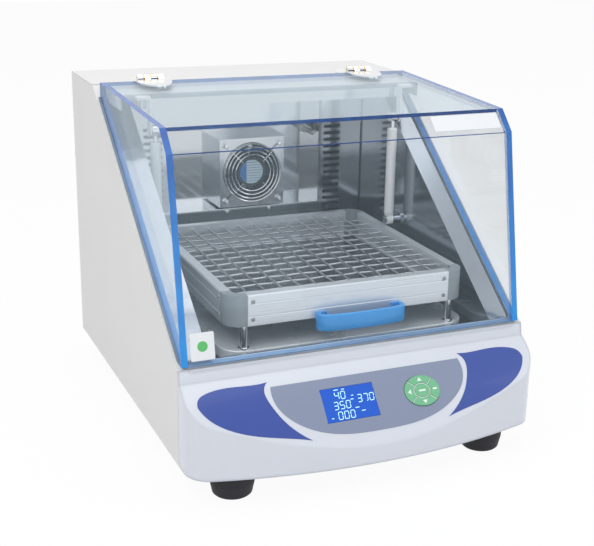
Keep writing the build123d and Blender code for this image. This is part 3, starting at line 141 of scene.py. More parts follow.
def mix_colour(tree, factor, low, high):
    """Colour that runs from low to high with the factor; each may be a socket or a colour."""
    mix = add_node(tree, "ShaderNodeMix", data_type="RGBA")
    tree.links.new(factor, mix.inputs[0])
    for socket, value in ((mix.inputs[6], low), (mix.inputs[7], high)):
        if isinstance(value, bpy.types.NodeSocket):
            tree.links.new(value, socket)
        else:
            socket.default_value = (*value, 1.0)
    return mix.outputs[2]


def maths(tree, operation, first, second=0.0):
    """The result of an operation on two values, each a socket or a number."""
    node = add_node(tree, "ShaderNodeMath", operation=operation)
    for socket, value in zip(node.inputs, (first, second)):
        if isinstance(value, bpy.types.NodeSocket):
            tree.links.new(value, socket)
        else:
            socket.default_value = value
    return node.outputs["Value"]


def along_axis(tree, axis):
    """How far a point of the object lies along an axis, in metres."""
    place = add_node(tree, "ShaderNodeTexCoord")
    dot = add_node(tree, "ShaderNodeVectorMath", operation="DOT_PRODUCT")
    dot.inputs[1].default_value = axis
    tree.links.new(place.outputs["Object"], dot.inputs[0])
    return dot.outputs["Value"]


def remap(tree, value, low, high, to_low, to_high):
    """Value carried from one span to another, held at the ends."""
    node = add_node(tree, "ShaderNodeMapRange")
    node.inputs["From Min"].default_value = low
    node.inputs["From Max"].default_value = high
    node.inputs["To Min"].default_value = to_low
    node.inputs["To Max"].default_value = to_high
    tree.links.new(value, node.inputs["Value"])
    return node.outputs["Result"]


def add_bump(tree, shader, height, distance, strength=1.0, rounding=0.0):
    """Bump of the given height in metres, over edges that look rounded."""
    bump = add_node(tree, "ShaderNodeBump", Strength=strength, Distance=distance)
    tree.links.new(height, bump.inputs["Height"])
    if rounding:
        soft_edge = add_node(tree, "ShaderNodeBevel", samples=6, Radius=rounding)
        tree.links.new(soft_edge.outputs["Normal"], bump.inputs["Normal"])
    tree.links.new(bump.outputs["Normal"], shader.inputs["Normal"])


def scaled(colour, share):
    """Colour made darker or lighter by a share."""
    return tuple(channel * share for channel in colour)


def coated(name, colour, roughness=0.42, grain=900.0, grain_height=0.00003, coat=0.1, rounding=0.0):
    """Painted or moulded surface: fine grain, and a faint unevenness of tone."""
    material, shader = new_material(name, colour, roughness, Coat_Weight=coat, Coat_Roughness=0.25)
    tree = material.node_tree
    tone = mix_colour(tree, noise(tree, 9.0), scaled(colour, 0.97), scaled(colour, 1.02))
    tree.links.new(tone, shader.inputs["Base Color"])
    sheen = remap(tree, noise(tree, 14.0), 0, 1, roughness * 0.9, roughness * 1.12)
    tree.links.new(sheen, shader.inputs["Roughness"])
    add_bump(tree, shader, noise(tree, grain, detail=1.0), grain_height, rounding=rounding)
    return material


def brushed(name, colour, roughness, stretch, depth=0.00002, metallic=1.0):
    """Metal with grain lines along the axis whose stretch is smallest."""
    material, shader = new_material(name, colour, roughness, metallic)
    tree = material.node_tree
    grain = noise(tree, 1.0, stretch, 4.0)
    tone = mix_colour(tree, grain, scaled(colour, 0.86), scaled(colour, 1.08))
    tree.links.new(tone, shader.inputs["Base Color"])
    sheen = remap(tree, grain, 0.2, 0.8, roughness * 0.75, roughness * 1.3)
    tree.links.new(sheen, shader.inputs["Roughness"])
    add_bump(tree, shader, grain, depth, 0.5)
    return material


def polished(name, colour, roughness=0.12):
    """Bright metal with slow waves and a few smears."""
    material, shader = new_material(name, colour, roughness, 1.0)
    tree = material.node_tree
    smears = noise(tree, 22.0, detail=5.0)
    sheen = remap(tree, smears, 0.35, 0.75, roughness * 0.7, roughness * 1.8)
    tree.links.new(sheen, shader.inputs["Roughness"])
    add_bump(tree, shader, noise(tree, 18.0, detail=1.0), 0.0004, 0.25)
    return material


def rubbery(name, colour, roughness=0.62):
    """Matte rubber with a fine moulded texture."""
    material, shader = new_material(name, colour, roughness, Specular_IOR_Level=0.35)
    tree = material.node_tree
    tone = mix_colour(tree, noise(tree, 60.0), scaled(colour, 0.8), scaled(colour, 1.25))
    tree.links.new(tone, shader.inputs["Base Color"])
    add_bump(tree, shader, noise(tree, 1400.0, detail=2.0), 0.00005, 0.6)
    return material


def acrylic(name, face_normal, haze):
    """Clear sheet that mirrors more at a low angle, with blue sawn and glued edges that are painted
    lighter low down and darker higher up.
    """
    material, shader = new_material(name, ACRYLIC_TINT, SHEET_ROUGHNESS, SHEET_METALLIC)
    material.surface_render_method = "BLENDED"
    tree = material.node_tree
    surface = add_node(tree, "ShaderNodeNewGeometry")
    own = add_node(
        tree, "ShaderNodeVectorTransform",
        vector_type="NORMAL", convert_from="WORLD", convert_to="OBJECT",
    )
    tree.links.new(surface.outputs["True Normal"], own.inputs["Vector"])
    facing = add_node(tree, "ShaderNodeVectorMath", operation="DOT_PRODUCT")
    facing.inputs[1].default_value = face_normal
    tree.links.new(own.outputs["Vector"], facing.inputs[0])
    edge = remap(tree, maths(tree, "ABSOLUTE", facing.outputs["Value"]), *EDGE_FACING, 1.0, 0.0)
    angle = add_node(tree, "ShaderNodeLayerWeight", Blend=0.5)
    gloss = maths(tree, "POWER", angle.outputs["Facing"], GLOSS_POWER)
    clear = remap(tree, gloss, 0.0, 1.0, haze, 1.0)
    streak = maths(tree, "MULTIPLY", noise(tree, 1.0, (60, 60, 25), 3.0), 0.6)
    # Painted light: edges made brighter low down and darker higher up, by height alone.
    lower = remap(tree, along_axis(tree, UP), *PAINTED_GLOW_HEIGHTS, 0.7, 0.0)
    blue = mix_colour(tree, maths(tree, "ADD", streak, lower), EDGE_DARK, EDGE_BRIGHT)
    tree.links.new(mix_colour(tree, edge, ACRYLIC_TINT, blue), shader.inputs["Base Color"])
    solid_edge = maths(tree, "MULTIPLY", edge, EDGE_ALPHA)
    tree.links.new(maths(tree, "MAXIMUM", clear, solid_edge), shader.inputs["Alpha"])
    tree.links.new(remap(tree, edge, 0, 1, SHEET_METALLIC, 0.0), shader.inputs["Metallic"])
    rough = remap(tree, edge, 0, 1, SHEET_ROUGHNESS, EDGE_ROUGHNESS)
    tree.links.new(rough, shader.inputs["Roughness"])
    return material


def control_film(name):
    """Printed film: a grey middle panel between two blue side shapes."""
    material, shader = new_material(name, FILM_GREY, 0.36, Coat_Weight=0.15)
    tree = material.node_tree
    up_slope = maths(tree, "ADD", along_axis(tree, FILM_UP), FILM_UP_SHIFT)
    below = maths(tree, "MAXIMUM", maths(tree, "SUBTRACT", GREY_ROUND_BELOW, up_slope), 0.0)
    low_share = maths(tree, "DIVIDE", below, GREY_ROUND_DEPTH)
    side_share = maths(tree, "DIVIDE", along_axis(tree, (1, 0, 0)), GREY_HALF_WIDTH)
    squares = [maths(tree, "MULTIPLY", share, share) for share in (low_share, side_share)]
    outside = maths(tree, "GREATER_THAN", maths(tree, "ADD", *squares), 1.0)
    ink = mix_colour(tree, outside, FILM_GREY, FILM_BLUE)
    tree.links.new(ink, shader.inputs["Base Color"])
    add_bump(tree, shader, noise(tree, 700.0, detail=1.0), 0.00001, 0.6)
    return material


def spring_wire(name):
    """Wire in close turns, drawn as slanting bands: a painted highlight on each turn and painted shade
    between turns.
    """
    material, shader = new_material(name, (0.50, 0.52, 0.54), 0.28, 1.0)
    tree = material.node_tree
    turns = add_node(tree, "ShaderNodeTexWave", Scale=160.0, Distortion=0.0, bands_direction="DIAGONAL")
    place = add_node(tree, "ShaderNodeTexCoord")
    tree.links.new(place.outputs["Object"], turns.inputs["Vector"])
    # Painted light: the dark tone is painted shade between the turns, the bright tone a painted
    # highlight on each turn.
    tone = mix_colour(tree, turns.outputs["Fac"], (0.30, 0.32, 0.34), (0.78, 0.80, 0.82))
    tree.links.new(tone, shader.inputs["Base Color"])
    add_bump(tree, shader, turns.outputs["Fac"], 0.0004, 0.7)
    return material


def fan_label_paper(name):
    """Hub label: pale paper with a blue band and a few ruled lines."""
    material, shader = new_material(name, (0.62, 0.78, 0.88), 0.4)
    tree = material.node_tree
    band = maths(tree, "LESS_THAN", along_axis(tree, (1, 0, 0)), FAN_X - 0.008)
    wave = maths(tree, "SINE", maths(tree, "MULTIPLY", along_axis(tree, UP), 1600.0))
    rule = maths(tree, "GREATER_THAN", wave, 0.7)
    paper = mix_colour(tree, rule, (0.66, 0.82, 0.90), (0.30, 0.44, 0.56))
    tree.links.new(mix_colour(tree, band, paper, (0.03, 0.22, 0.62)), shader.inputs["Base Color"])
    return material


def lit(name, colour, strength):
    """Smooth surface that gives off some light of its own colour."""
    glow = {"Emission_Color": (*colour, 1.0), "Emission_Strength": strength}
    return new_material(name, colour, 0.3, **glow)[0]


paint = coated("white_powder_coat", WHITE, rounding=0.0012)
fascia_plastic = coated("white_moulding", FASCIA_WHITE, 0.3, 500.0, 0.00001, 0.35, 0.006)
black_plastic = coated("black_moulding", (0.012, 0.012, 0.014), 0.45, 1200.0, 0.00004, 0.0)
strut_white = coated("strut_white", (0.82, 0.84, 0.85), 0.25, 300.0, 0.00001, 0.4)
probe_white = coated("probe_white", (0.75, 0.75, 0.72), 0.4)
key_green = coated("key_green", (0.17, 0.47, 0.26), 0.5, 1500.0, 0.00005, 0.0)
handle_blue = coated("handle_blue", (0.002, 0.31, 0.80), 0.28, 400.0, 0.00001, 0.5)
motor_paint = coated("motor_paint", (0.03, 0.03, 0.035), 0.5)
wool = coated("mineral_wool", (0.62, 0.52, 0.28), 0.9, 500.0, 0.0006, 0.0)
overlay_film = control_film("control_film")
sticker_white = coated("sticker_white", (0.80, 0.82, 0.84), 0.35)
sticker_green = coated("sticker_green", (0.10, 0.50, 0.14), 0.4)
key_print = coated("key_print", (0.80, 0.88, 0.82), 0.5)
spring_metal = spring_wire("spring_wire")
fan_label = fan_label_paper("fan_label")
steel_across = brushed("steel_grain_x", STEEL, 0.1, (12, 900, 900), 0.00001)
steel_upright = brushed("steel_grain_z", (0.37, 0.40, 0.44), 0.13, (260, 260, 6), 0.000004)
steel_deep = brushed("steel_grain_y", STEEL, 0.2, (900, 10, 900))
zinc = brushed("zinc_sheet", (0.50, 0.52, 0.54), 0.4, (60, 60, 60), 0.00004)
rail_metal = brushed("rail_aluminium", (0.74, 0.79, 0.84), 0.32, (9, 9, 900), 0.00001, 0.55)
cast_metal = coated("cast_alloy", (0.27, 0.31, 0.34), 0.4, 700.0, 0.00008, 0.0)
chrome = polished("chrome", (0.78, 0.79, 0.80))
plate_steel = polished("plate_steel", (0.55, 0.58, 0.61), 0.14)
satin_steel = brushed("satin_steel", (0.86, 0.91, 0.95), 0.28, (14, 14, 14), 0.00001, 0.25)
# Tray base: steel painted dark to stand in for the shade that falls under the springs.
painted_shade_steel = polished("painted_shade_steel", (0.17, 0.18, 0.20), 0.22)
gold = polished("gold", (0.78, 0.50, 0.16), 0.18)
rubber_black = rubbery("rubber_black", (0.022, 0.021, 0.026))
rubber_grey = rubbery("rubber_grey", (0.24, 0.27, 0.31))
screw_steel = polished("screw_steel", (0.30, 0.31, 0.32), 0.25)
lcd_glass = lit("lcd_glass", LCD_BLUE, 0.3)
lcd_light = lit("lcd_light", LCD_PALE, 0.5)


def dress(material, *names):
    """Gives CAD nodes one material."""
    for name in names:
        data = nodes[name].data
        data.materials.clear()
        data.materials.append(material)


dress(paint, "side_panel_left", "side_panel_right", "top_cover", "rear_panel")
dress(fascia_plastic, "front_fascia")
dress(zinc, "base_pan", "drive_deck")
dress(steel_across, "liner_floor", "liner_rear", "liner_ceiling", "rear_baffle", "heater_element")
dress(steel_upright, "liner_sides", "strut_lower_brackets")
dress(plate_steel, "fan_box")
dress(satin_steel, "platform_plate")
dress(painted_shade_steel, "tray_base")
dress(wool, "insulation")
dress(rubber_grey, "lid_gasket")
dress(black_plastic, "fan_frame", "fan_rotor", "power_inlet", "switch_body", "switch_rocker")
dress(chrome, "fan_guard", "hinge_body_leaves", "hinge_lid_leaves", "tray_posts", "strut_rod_left",
      "strut_rod_right", "tray_springs")
dress(probe_white, "temperature_probe")
dress(rubber_black, "feet", "drive_belt")
dress(gold, "hinge_pins")
dress(overlay_film, "control_overlay")
dress(lcd_glass, "display_module")
dress(motor_paint, "drive_motor")
dress(cast_metal, "bearing_housings", "drive_pulley", "tray_corners")
dress(steel_deep, "drive_crank", "motor_pulley", "idler_crank_left", "idler_crank_right")
dress(strut_white, "strut_cylinder_left", "strut_cylinder_right", "strut_lid_brackets")
dress(rail_metal, "tray_rails")
dress(handle_blue, "tray_handle")
dress(key_green, "key_up", "key_down", "key_left", "key_right", "key_centre")

# Outward normals of the hood's sloping panels.
FRONT_NORMAL = Vector((0, -237.0, 46.0)).normalized()
BROW_NORMAL = Vector((0, -25.2, 24.7)).normalized()
TOP_NORMAL = Vector((0, -9.4, 272.7)).normalized()
dress(acrylic("acrylic_front", FRONT_NORMAL, PANEL_HAZE), "lid_front")
dress(acrylic("acrylic_brow", BROW_NORMAL, PANEL_HAZE), "lid_brow")
dress(acrylic("acrylic_top", TOP_NORMAL, PANEL_HAZE), "lid_top")
dress(acrylic("acrylic_cheek", (1, 0, 0), CHEEK_HAZE), "lid_cheeks")


def add_piece(name, vertices, faces, material, body, smooth=False):
    """A new mesh that rides on a body and takes its finish from a slot."""
    mesh = bpy.data.meshes.new(name)
    mesh.from_pydata([tuple(v) for v in vertices], [], faces)
    mesh.materials.append(material)
    if smooth:
        mesh.shade_smooth()
    mesh.update()
    obj = bpy.data.objects.new(name, mesh)
    bpy.context.scene.collection.objects.link(obj)
    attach(obj, body)
    return obj


def surface_frame(origin, normal, up):
    """Matrix from flat x, y, outward to a surface, in metres."""
    outward = Vector(normal).normalized()
    across = Vector(up).cross(outward).normalized()
    upward = outward.cross(across)
    return Matrix((
        (across.x, upward.x, outward.x, origin[0]),
        (across.y, upward.y, outward.y, origin[1]),
        (across.z, upward.z, outward.z, origin[2]),
        (0, 0, 0, 1),
    ))


def rounded_outline(half_width, half_height, radius, steps=6):
    """Corner points of a rounded rectangle, anticlockwise."""
    points = []
    for corner, (sx, sy) in enumerate(((1, 1), (-1, 1), (-1, -1), (1, -1))):
        for step in range(steps + 1):
            angle = math.pi / 2 * (corner + step / steps)
            x = sx * (half_width - radius) + radius * math.cos(angle)
            y = sy * (half_height - radius) + radius * math.sin(angle)
            points.append((x, y))
    return points


def raised_plate(name, place, outline, thickness, material, body, lift=0.0):
    """Flat outline raised off a surface, with a small chamfer round its top."""
    count = len(outline)
    middle = Vector((sum(x for x, y in outline) / count, sum(y for x, y in outline) / count, 0))
    vertices = []
    for height, inset in ((0.0, 1.0), (thickness * 0.6, 1.0), (thickness, 0.985)):
        for x, y in outline:
            flat = middle + (Vector((x, y, 0)) - middle) * inset
            vertices.append(place @ Vector((flat.x, flat.y, lift + height)))
    faces = [list(range(2 * count, 3 * count)), list(range(count - 1, -1, -1))]
    for ring in (0, count):
        for i in range(count):
            j = (i + 1) % count
            faces.append([ring + i, ring + j, ring + count + j, ring + count + i])
    return add_piece(name, vertices, faces, material, body)


def turned_group(name, places, profile, sides, material, body):
    """Round parts of one profile (radius, height) at several places."""
    vertices, faces = [], []
    for place in places:
        first = len(vertices)
        for radius, height in profile:
            for i in range(sides):
                angle = 2 * math.pi * i / sides
                x, y = radius * math.cos(angle), radius * math.sin(angle)
                vertices.append(place @ Vector((x, y, height)))
        for ring in range(len(profile) - 1):
            for i in range(sides):
                a, b = first + ring * sides + i, first + ring * sides + (i + 1) % sides
                faces.append([a, b, b + sides, a + sides])
        faces.append([first + (len(profile) - 1) * sides + i for i in range(sides)])
    return add_piece(name, vertices, faces, material, body)


def screw_profile(radius, height):
    """Pan head with a round socket, from its seat to the socket's floor."""
    return [
        (radius, 0.0), (radius, 0.45 * height), (0.8 * radius, 0.9 * height),
        (0.5 * radius, height), (0.42 * radius, height), (0.36 * radius, 0.35 * height),
    ]


# The fascia's control slope, seen from the side: its top end in y and z, how far it runs forward
# and down, and the radius of its bulge.
SLOPE_TOP = Vector((-0.212, 0.139))
SLOPE_RUN = 0.0703
SLOPE_DROP = 0.0784
SLOPE_RADIUS = 0.2
slope_chord = math.hypot(SLOPE_RUN, SLOPE_DROP)
slope_half_angle = math.asin(slope_chord / 2 / SLOPE_RADIUS)
slope_down = Vector((-SLOPE_RUN, -SLOPE_DROP)) / slope_chord
slope_out = Vector((-SLOPE_DROP, SLOPE_RUN)) / slope_chord
slope_middle = SLOPE_TOP + slope_down * (slope_chord / 2)
slope_centre = slope_middle - slope_out * (SLOPE_RADIUS * math.cos(slope_half_angle))


def slope_frame(u, v):
    """Matrix that touches the fascia's slope at u across and v below the ledge."""
    angle = v / SLOPE_RADIUS - slope_half_angle
    normal = slope_out * math.cos(angle) + slope_down * math.sin(angle)
    point = slope_centre + normal * SLOPE_RADIUS
    return surface_frame((u, point.x, point.y), (0, normal.x, normal.y), (0, 0, 1))


DISPLAY_PLACE = slope_frame(-0.033, 0.053)
DIGIT_WIDTH, DIGIT_RISE = 0.0052, 0.0045
DIGIT_PITCH, DIGIT_SLANT = 0.0079, 0.0004
STROKE_HALF, STROKE_TRIM = 0.0005, 0.0004
DIGIT_HEIGHT = -0.0007
DIGIT_STROKES = {
    "a": ((0, 2), (1, 2)), "b": ((1, 2), (1, 1)), "c": ((1, 1), (1, 0)), "d": ((0, 0), (1, 0)),
    "e": ((0, 1), (0, 0)), "f": ((0, 2), (0, 1)), "g": ((0, 1), (1, 1)),
}
DIGITS = {"0": "abcdef", "3": "abcdg", "4": "bcfg", "5": "acdfg", "7": "abc"}

# Each figure with its lower left corner, and each mark's left end and width.
FIGURES = (
    ("40", -0.0175, 0.0062), ("350", -0.0215, -0.0060),
    ("000", -0.0190, -0.0184), ("370", 0.0105, -0.001),
)
SMALL_MARKS = (
    (-0.017, 0.0178, 0.006), (-0.007, 0.0178, 0.004), (0.0015, 0.004, 0.004), (0.005, -0.007, 0.005),
    (0.012, -0.0118, 0.005), (-0.028, -0.016, 0.003), (0.0222, -0.001, 0.0009), (0.0035, 0.0085, 0.003),
)


def stroke_quad(start, end, half, trim):
    """Four corners of a bar between two points, short of both by trim."""
    start, end = Vector(start), Vector(end)
    along = (end - start).normalized()
    across = Vector((-along.y, along.x)) * half
    start, end = start + along * trim, end - along * trim
    return [start - across, end - across, end + across, start + across]


def add_quad(vertices, faces, place, corners, height):
    """Adds four flat corners to a mesh as one face, at a height over a surface."""
    faces.append(list(range(len(vertices), len(vertices) + 4)))
    vertices.extend(place @ Vector((corner.x, corner.y, height)) for corner in corners)


def add_digits():
    """Seven-stroke figures and small marks on the lit display."""
    vertices, faces = [], []
    for word, x, y in FIGURES:
        for place, digit in enumerate(word):
            for stroke in DIGITS[digit]:
                start, end = (
                    (x + place * DIGIT_PITCH + px * DIGIT_WIDTH + py * DIGIT_SLANT, y + py * DIGIT_RISE)
                    for px, py in DIGIT_STROKES[stroke]
                )
                corners = stroke_quad(start, end, STROKE_HALF, STROKE_TRIM)
                add_quad(vertices, faces, DISPLAY_PLACE, corners, DIGIT_HEIGHT)
    for x, y, width in SMALL_MARKS:
        corners = stroke_quad((x, y), (x + width, y), STROKE_HALF, 0.0)
        add_quad(vertices, faces, DISPLAY_PLACE, corners, DIGIT_HEIGHT)
    add_piece("display_figures", vertices, faces, lcd_light, "housing")


KEYPAD_PLACE = slope_frame(0.063, 0.053)
KEY_TOP = 0.0012
PRINT_THICKNESS = 0.0001
ARROW = ((0.0, 0.0026), (-0.0032, -0.0020), (0.0032, -0.0020))


def print_on_key(body, kind, outline):
    """Thin printed shape on a key's top."""
    name = body + "_" + kind
    raised_plate(
        name, KEYPAD_PLACE, outline, PRINT_THICKNESS, key_print, body, KEY_TOP,
    )


def add_key_marks():
    """Pale arrows on three keys, and bars on the fourth and on the centre key."""
    arrows = (
        ("up_button", 0, 0.0142, 0),
        ("down_button", 0, -0.0142, 180),
        ("left_button", -0.0172, 0, 90),
    )
    for body, x, y, turn in arrows:
        spin = Matrix.Rotation(math.radians(turn), 2)
        print_on_key(body, "arrow", [spin @ Vector(point) + Vector((x, y)) for point in ARROW])
    for body, x, half in (("right_button", 0.0172, 0.0030), ("centre_button", 0.0, 0.0046)):
        bar = rounded_outline(half, 0.0011, 0.0008, 3)
        print_on_key(body, "mark", [(x + px, py) for px, py in bar])


# Ribs between the keys: four rays towards the keypad's corners, and an oval ring.
KEYPAD_RUN, KEYPAD_RISE = 24.0, 19.4
RIB_HEIGHT = 0.0006
RIB_HALF = 0.00045
RIB_NEAR, RIB_FAR = 0.0112, 0.0212
RIB_RING = ((0.0104, 0.0085), (0.0113, 0.0094))
RIB_RING_STEPS = 40


def add_key_web():
    """Pale ribs of the keypad's mask, in the gaps between the keys."""
    vertices, faces = [], []
    slit = math.atan2(KEYPAD_RISE, KEYPAD_RUN)
    for turn in (slit, math.pi - slit, math.pi + slit, -slit):
        ray = Vector((math.cos(turn), math.sin(turn)))
        corners = stroke_quad(ray * RIB_NEAR, ray * RIB_FAR, RIB_HALF, 0.0)
        add_quad(vertices, faces, KEYPAD_PLACE, corners, RIB_HEIGHT)
    first = len(vertices)
    for i in range(RIB_RING_STEPS):
        angle = 2 * math.pi * i / RIB_RING_STEPS
        for rx, ry in RIB_RING:
            flat = Vector((rx * math.cos(angle), ry * math.sin(angle), RIB_HEIGHT))
            vertices.append(KEYPAD_PLACE @ flat)
    for i in range(RIB_RING_STEPS):
        a, b = first + 2 * i, first + 2 * ((i + 1) % RIB_RING_STEPS)
        faces.append([a, a + 1, b + 1, b])
    add_piece("keypad_ribs", vertices, faces, key_print, "housing")


# The tray's middle with its crank at rest, and its springs.
TRAY_X, TRAY_Y = 0.010, 0.0045
TRAY_HALF = 0.163
SPRING_SPAN = 0.300
SPRING_COUNT = 12
SPRING_Z = 0.2094
LAYER_RISE = 0.0022
SPRING_RADIUS = 0.0015
SPRING_WAIST = 0.84
spring_pitch = SPRING_SPAN / (SPRING_COUNT + 1)


def add_springs():
    """Close-wound springs in two crossing layers, each with a faint sway."""
    vertices, faces = [], []
    rings, sides, sway = 151, 8, 0.0003
    for direction in (0, 1):
        for index in range(SPRING_COUNT):
            across = (index - (SPRING_COUNT - 1) / 2) * spring_pitch
            phase = (-1) ** (index + direction)
            first = len(vertices)
            for ring in range(rings):
                along = -SPRING_SPAN / 2 + SPRING_SPAN * ring / (rings - 1)
                nearest = (along + spring_pitch * (SPRING_COUNT - 1) / 2) / spring_pitch
                rise = sway * phase * math.cos(math.pi * nearest) + LAYER_RISE * direction
                radius = SPRING_RADIUS * (1.0 if ring % 2 else SPRING_WAIST)
                for side in range(sides):
                    angle = 2 * math.pi * side / sides
                    off, up = radius * math.cos(angle), radius * math.sin(angle)
                    x, y = (along, across + off) if direction == 0 else (across + off, along)
                    vertices.append((TRAY_X + x, TRAY_Y + y, SPRING_Z + rise + up))
            for ring in range(rings - 1):
                for side in range(sides):
                    a, b = first + ring * sides + side, first + ring * sides + (side + 1) % sides
                    faces.append([a, b, b + sides, a + sides])
    springs = add_piece(
        "tray_spring_coils", vertices, faces, spring_metal, "platform", smooth=True,
    )
    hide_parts("tray_springs")


# The handle's bow from above, in millimetres from the rail's face.
HANDLE_PATH = (
    (-56, -3), (-57, -8), (-54, -13), (-46, -15.8), (-24, -18.2), (0, -19),
    (24, -18.2), (46, -15.8), (54, -13), (57, -8), (56, -3),
)
HANDLE_X = 0.020
HANDLE_LOW, HANDLE_HIGH = 0.1660, 0.1875
HANDLE_HALF_THICKNESS = 0.0031
HANDLE_EDGE_RADIUS = 0.0021
TAB_OFF, TAB_Z, TAB_THICKNESS = 0.0520, 0.1810, 0.0040


def smooth_path(points, steps):
    """Points of a smooth curve through the given ones."""
    points = [Vector(p) for p in points]
    result = []
    for i in range(len(points) - 1):
        before, start = points[max(i - 1, 0)], points[i]
        end, after = points[i + 1], points[min(i + 2, len(points) - 1)]
        for step in range(steps):
            t = step / steps
            result.append(0.5 * (
                2 * start + (end - before) * t + (2 * before - 5 * start + 4 * end - after) * t * t
                + (3 * start - before - 3 * end + after) * t ** 3
            ))
    return result + [points[-1]]


def add_handle():
    """Soft-edged bow handle with two screwed tabs."""
    rail_y = TRAY_Y - TRAY_HALF
    path = [Vector((HANDLE_X + p.x * MM, rail_y + p.y * MM)) for p in smooth_path(HANDLE_PATH, 4)]
    middle_z = (HANDLE_LOW + HANDLE_HIGH) / 2
    half_height = (HANDLE_HIGH - HANDLE_LOW) / 2
    section = rounded_outline(HANDLE_HALF_THICKNESS, half_height, HANDLE_EDGE_RADIUS, 4)
    vertices, faces = [], []
    for i, point in enumerate(path):
        ahead, behind = path[min(i + 1, len(path) - 1)], path[max(i - 1, 0)]
        tangent = (ahead - behind).normalized()
        for off, up in section:
            vertices.append((point.x - tangent.y * off, point.y + tangent.x * off, middle_z + up))
    count = len(section)
    for i in range(len(path) - 1):
        for j in range(count):
            a, b = i * count + j, i * count + (j + 1) % count
            faces.append([a, b, b + count, a + count])
    faces += [list(range(count)), list(range(len(vertices) - 1, len(vertices) - count - 1, -1))]
    handle = add_piece(
        "tray_handle_bow", vertices, faces, handle_blue, "platform", smooth=True,
    )
    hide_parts("tray_handle")
    for side, name in ((-1, "left"), (1, "right")):
        place = surface_frame((HANDLE_X + side * TAB_OFF, rail_y, TAB_Z), FORWARD, UP)
        tab = rounded_outline(0.0070, 0.0065, 0.0020)
        raised_plate(
            "handle_tab_" + name, place, tab, TAB_THICKNESS, handle_blue, "platform",
        )


RAIL_SCREW_OFF = 0.1305
RAIL_SCREW_HEIGHTS = (0.1876, 0.2100)
FAN_SCREW_OFF = 0.04125
FAN_PLATE_Y = 0.1845
FAN_HUB_Y = 0.1916
LEDGE_SCREW_OFF = 0.033
LEDGE_AT = (0.005, 0.194, 0.2235)
STICKER_THICKNESS = 0.0003


def add_screws():
    """Screw heads on the tray's rails, the fan plate and the rear ledge."""
    rail_places = []
    for turn in range(4):
        spin = Matrix.Rotation(turn * math.pi / 2, 3, "Z")
        for along in (-RAIL_SCREW_OFF, RAIL_SCREW_OFF):
            for z in RAIL_SCREW_HEIGHTS:
                flat = spin @ Vector((along, -TRAY_HALF, 0))
                at = (TRAY_X + flat.x, TRAY_Y + flat.y, z)
                rail_places.append(surface_frame(at, spin @ Vector(FORWARD), UP))
    fan_places = [
        surface_frame((FAN_X + sx * FAN_SCREW_OFF, FAN_PLATE_Y, FAN_Z + sz * FAN_SCREW_OFF), FORWARD, UP)
        for sx in (-1, 1) for sz in (-1, 1)
    ]
    ledge_x, ledge_y, ledge_z = LEDGE_AT
    ledge_places = [
        surface_frame((ledge_x + side * LEDGE_SCREW_OFF, ledge_y, ledge_z), FORWARD, UP)
        for side in (-1, 1)
    ]
    small, large = screw_profile(0.0027, 0.0012), screw_profile(0.0034, 0.002)
    for name, places, profile, material, body in (
        ("rail_screws", rail_places, small, screw_steel, "platform"),
        ("fan_screws", fan_places, large, chrome, "housing"),
        ("ledge_screws", ledge_places, large, chrome, "housing"),
    ):
        turned_group(name, places, profile, 14, material, body)


def add_labels():
    """Bare plate on the hood's brow, a plain sticker on its front, and the fan's hub label."""
    brow_place = surface_frame((0.165, -0.14765, 0.4081), BROW_NORMAL, UP)
    plate = rounded_outline(0.047, 0.0112, 0.002)
    raised_plate("brow_plate", brow_place, plate, 0.0005, sticker_white, "hood")
    front_place = surface_frame((-0.1985, -0.2018, 0.180), FRONT_NORMAL, UP)
    sticker = rounded_outline(0.0145, 0.0163, 0.002)
    raised_plate(
        "front_sticker", front_place, sticker, STICKER_THICKNESS, sticker_white, "hood",
    )
    dot = rounded_outline(0.0062, 0.0062, 0.0061)
    raised_plate(
        "front_sticker_dot", front_place, dot, PRINT_THICKNESS, sticker_green, "hood",
        STICKER_THICKNESS,
    )
    hub_place = surface_frame((FAN_X, FAN_HUB_Y, FAN_Z), FORWARD, UP)
    hub = rounded_outline(0.018, 0.018, 0.0179, 8)
    raised_plate("fan_hub_label", hub_place, hub, 0.0003, fan_label, "fan_wheel")


add_digits()
add_key_marks()
add_key_web()
add_springs()
add_handle()
add_screws()
add_labels()


def direct_view(tree, share):
    """Share for rays from the camera and for those that metal and glass send on."""
    ray = add_node(tree, "ShaderNodeLightPath")
    seen = maths(tree, "MAXIMUM", ray.outputs["Is Camera Ray"], ray.outputs["Is Glossy Ray"])
    seen = maths(tree, "MAXIMUM", seen, ray.outputs["Is Transmission Ray"])
    return maths(tree, "MULTIPLY", seen, share)


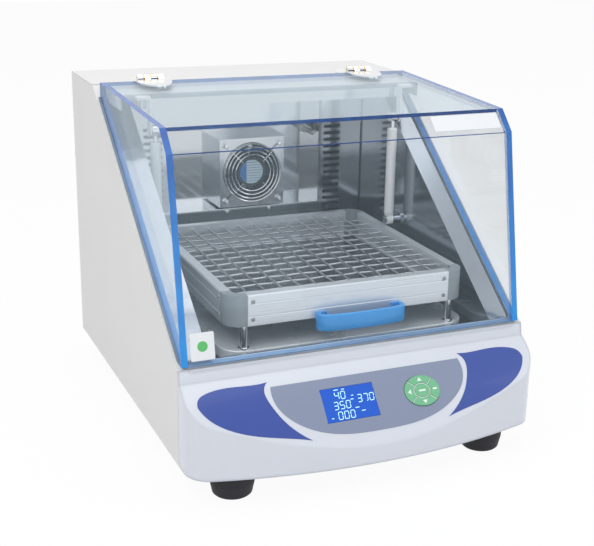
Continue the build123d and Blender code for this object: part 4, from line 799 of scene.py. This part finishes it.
def make_stage():
    """Pale floor that shows nearly white, and keeps a soft shadow."""
    material = bpy.data.materials.new("studio_floor")
    material.use_nodes = True
    tree = material.node_tree
    shader = tree.nodes["Principled BSDF"]
    shader.inputs["Base Color"].default_value = (0.90, 0.90, 0.90, 1.0)
    shader.inputs["Roughness"].default_value = 0.8
    glow = add_node(tree, "ShaderNodeEmission", Color=(1, 1, 1, 1), Strength=1.0)
    blend = add_node(tree, "ShaderNodeMixShader")
    tree.links.new(direct_view(tree, 0.94), blend.inputs["Fac"])
    tree.links.new(shader.outputs["BSDF"], blend.inputs[1])
    tree.links.new(glow.outputs["Emission"], blend.inputs[2])
    tree.links.new(blend.outputs["Shader"], tree.nodes["Material Output"].inputs["Surface"])
    mesh = bpy.data.meshes.new("studio_floor")
    reach = 6.0
    corners = [(-reach, -reach, 0), (reach, -reach, 0), (reach, reach, 0), (-reach, reach, 0)]
    mesh.from_pydata(corners, [], [(0, 1, 2, 3)])
    floor = bpy.data.objects.new("studio_floor", mesh)
    mesh.materials.append(material)
    bpy.context.scene.collection.objects.link(floor)


def make_world():
    """White to the camera and in reflections, a soft pale studio for the rest."""
    world = bpy.data.worlds.new("studio")
    bpy.context.scene.world = world
    world.use_nodes = True
    tree = world.node_tree
    back = tree.nodes["Background"]
    back.inputs["Color"].default_value = (0.96, 0.98, 1.0, 1.0)
    back.inputs["Strength"].default_value = 0.5
    white = add_node(tree, "ShaderNodeBackground", Color=(1, 1, 1, 1), Strength=1.0)
    blend = add_node(tree, "ShaderNodeMixShader")
    tree.links.new(direct_view(tree, 1.0), blend.inputs["Fac"])
    tree.links.new(back.outputs["Background"], blend.inputs[1])
    tree.links.new(white.outputs["Background"], blend.inputs[2])
    tree.links.new(blend.outputs["Shader"], tree.nodes["World Output"].inputs["Surface"])


def area_light(name, at, aim, size, power, colour=(1, 1, 1)):
    """A rectangular lamp that points at a place."""
    data = bpy.data.lights.new(name, "AREA")
    data.shape = "RECTANGLE"
    data.size, data.size_y = size
    data.energy = power
    data.color = colour
    lamp = bpy.data.objects.new(name, data)
    lamp.location = at
    lamp.rotation_euler = (Vector(aim) - Vector(at)).to_track_quat("-Z", "Y").to_euler()
    bpy.context.scene.collection.objects.link(lamp)


def make_lights():
    """A soft key from above and left, a wide fill from the right, and a low front fill."""
    middle = (0, 0, 0.25)
    area_light("key_soft", (-1.3, -0.9, 2.0), middle, (1.6, 1.2), 21.0)
    area_light("top_soft", (0.2, 0.3, 2.3), middle, (2.0, 2.0), 16.5)
    area_light("right_fill", (1.9, -1.1, 1.1), middle, (1.2, 1.6), 9.0, (0.94, 0.97, 1.0))
    area_light("front_fill", (-0.2, -2.4, 0.7), middle, (2.2, 0.9), 5.0, (0.93, 0.97, 1.0))


make_camera()
make_stage()
make_world()
make_lights()
bpy.context.scene.view_settings.view_transform = "Standard"
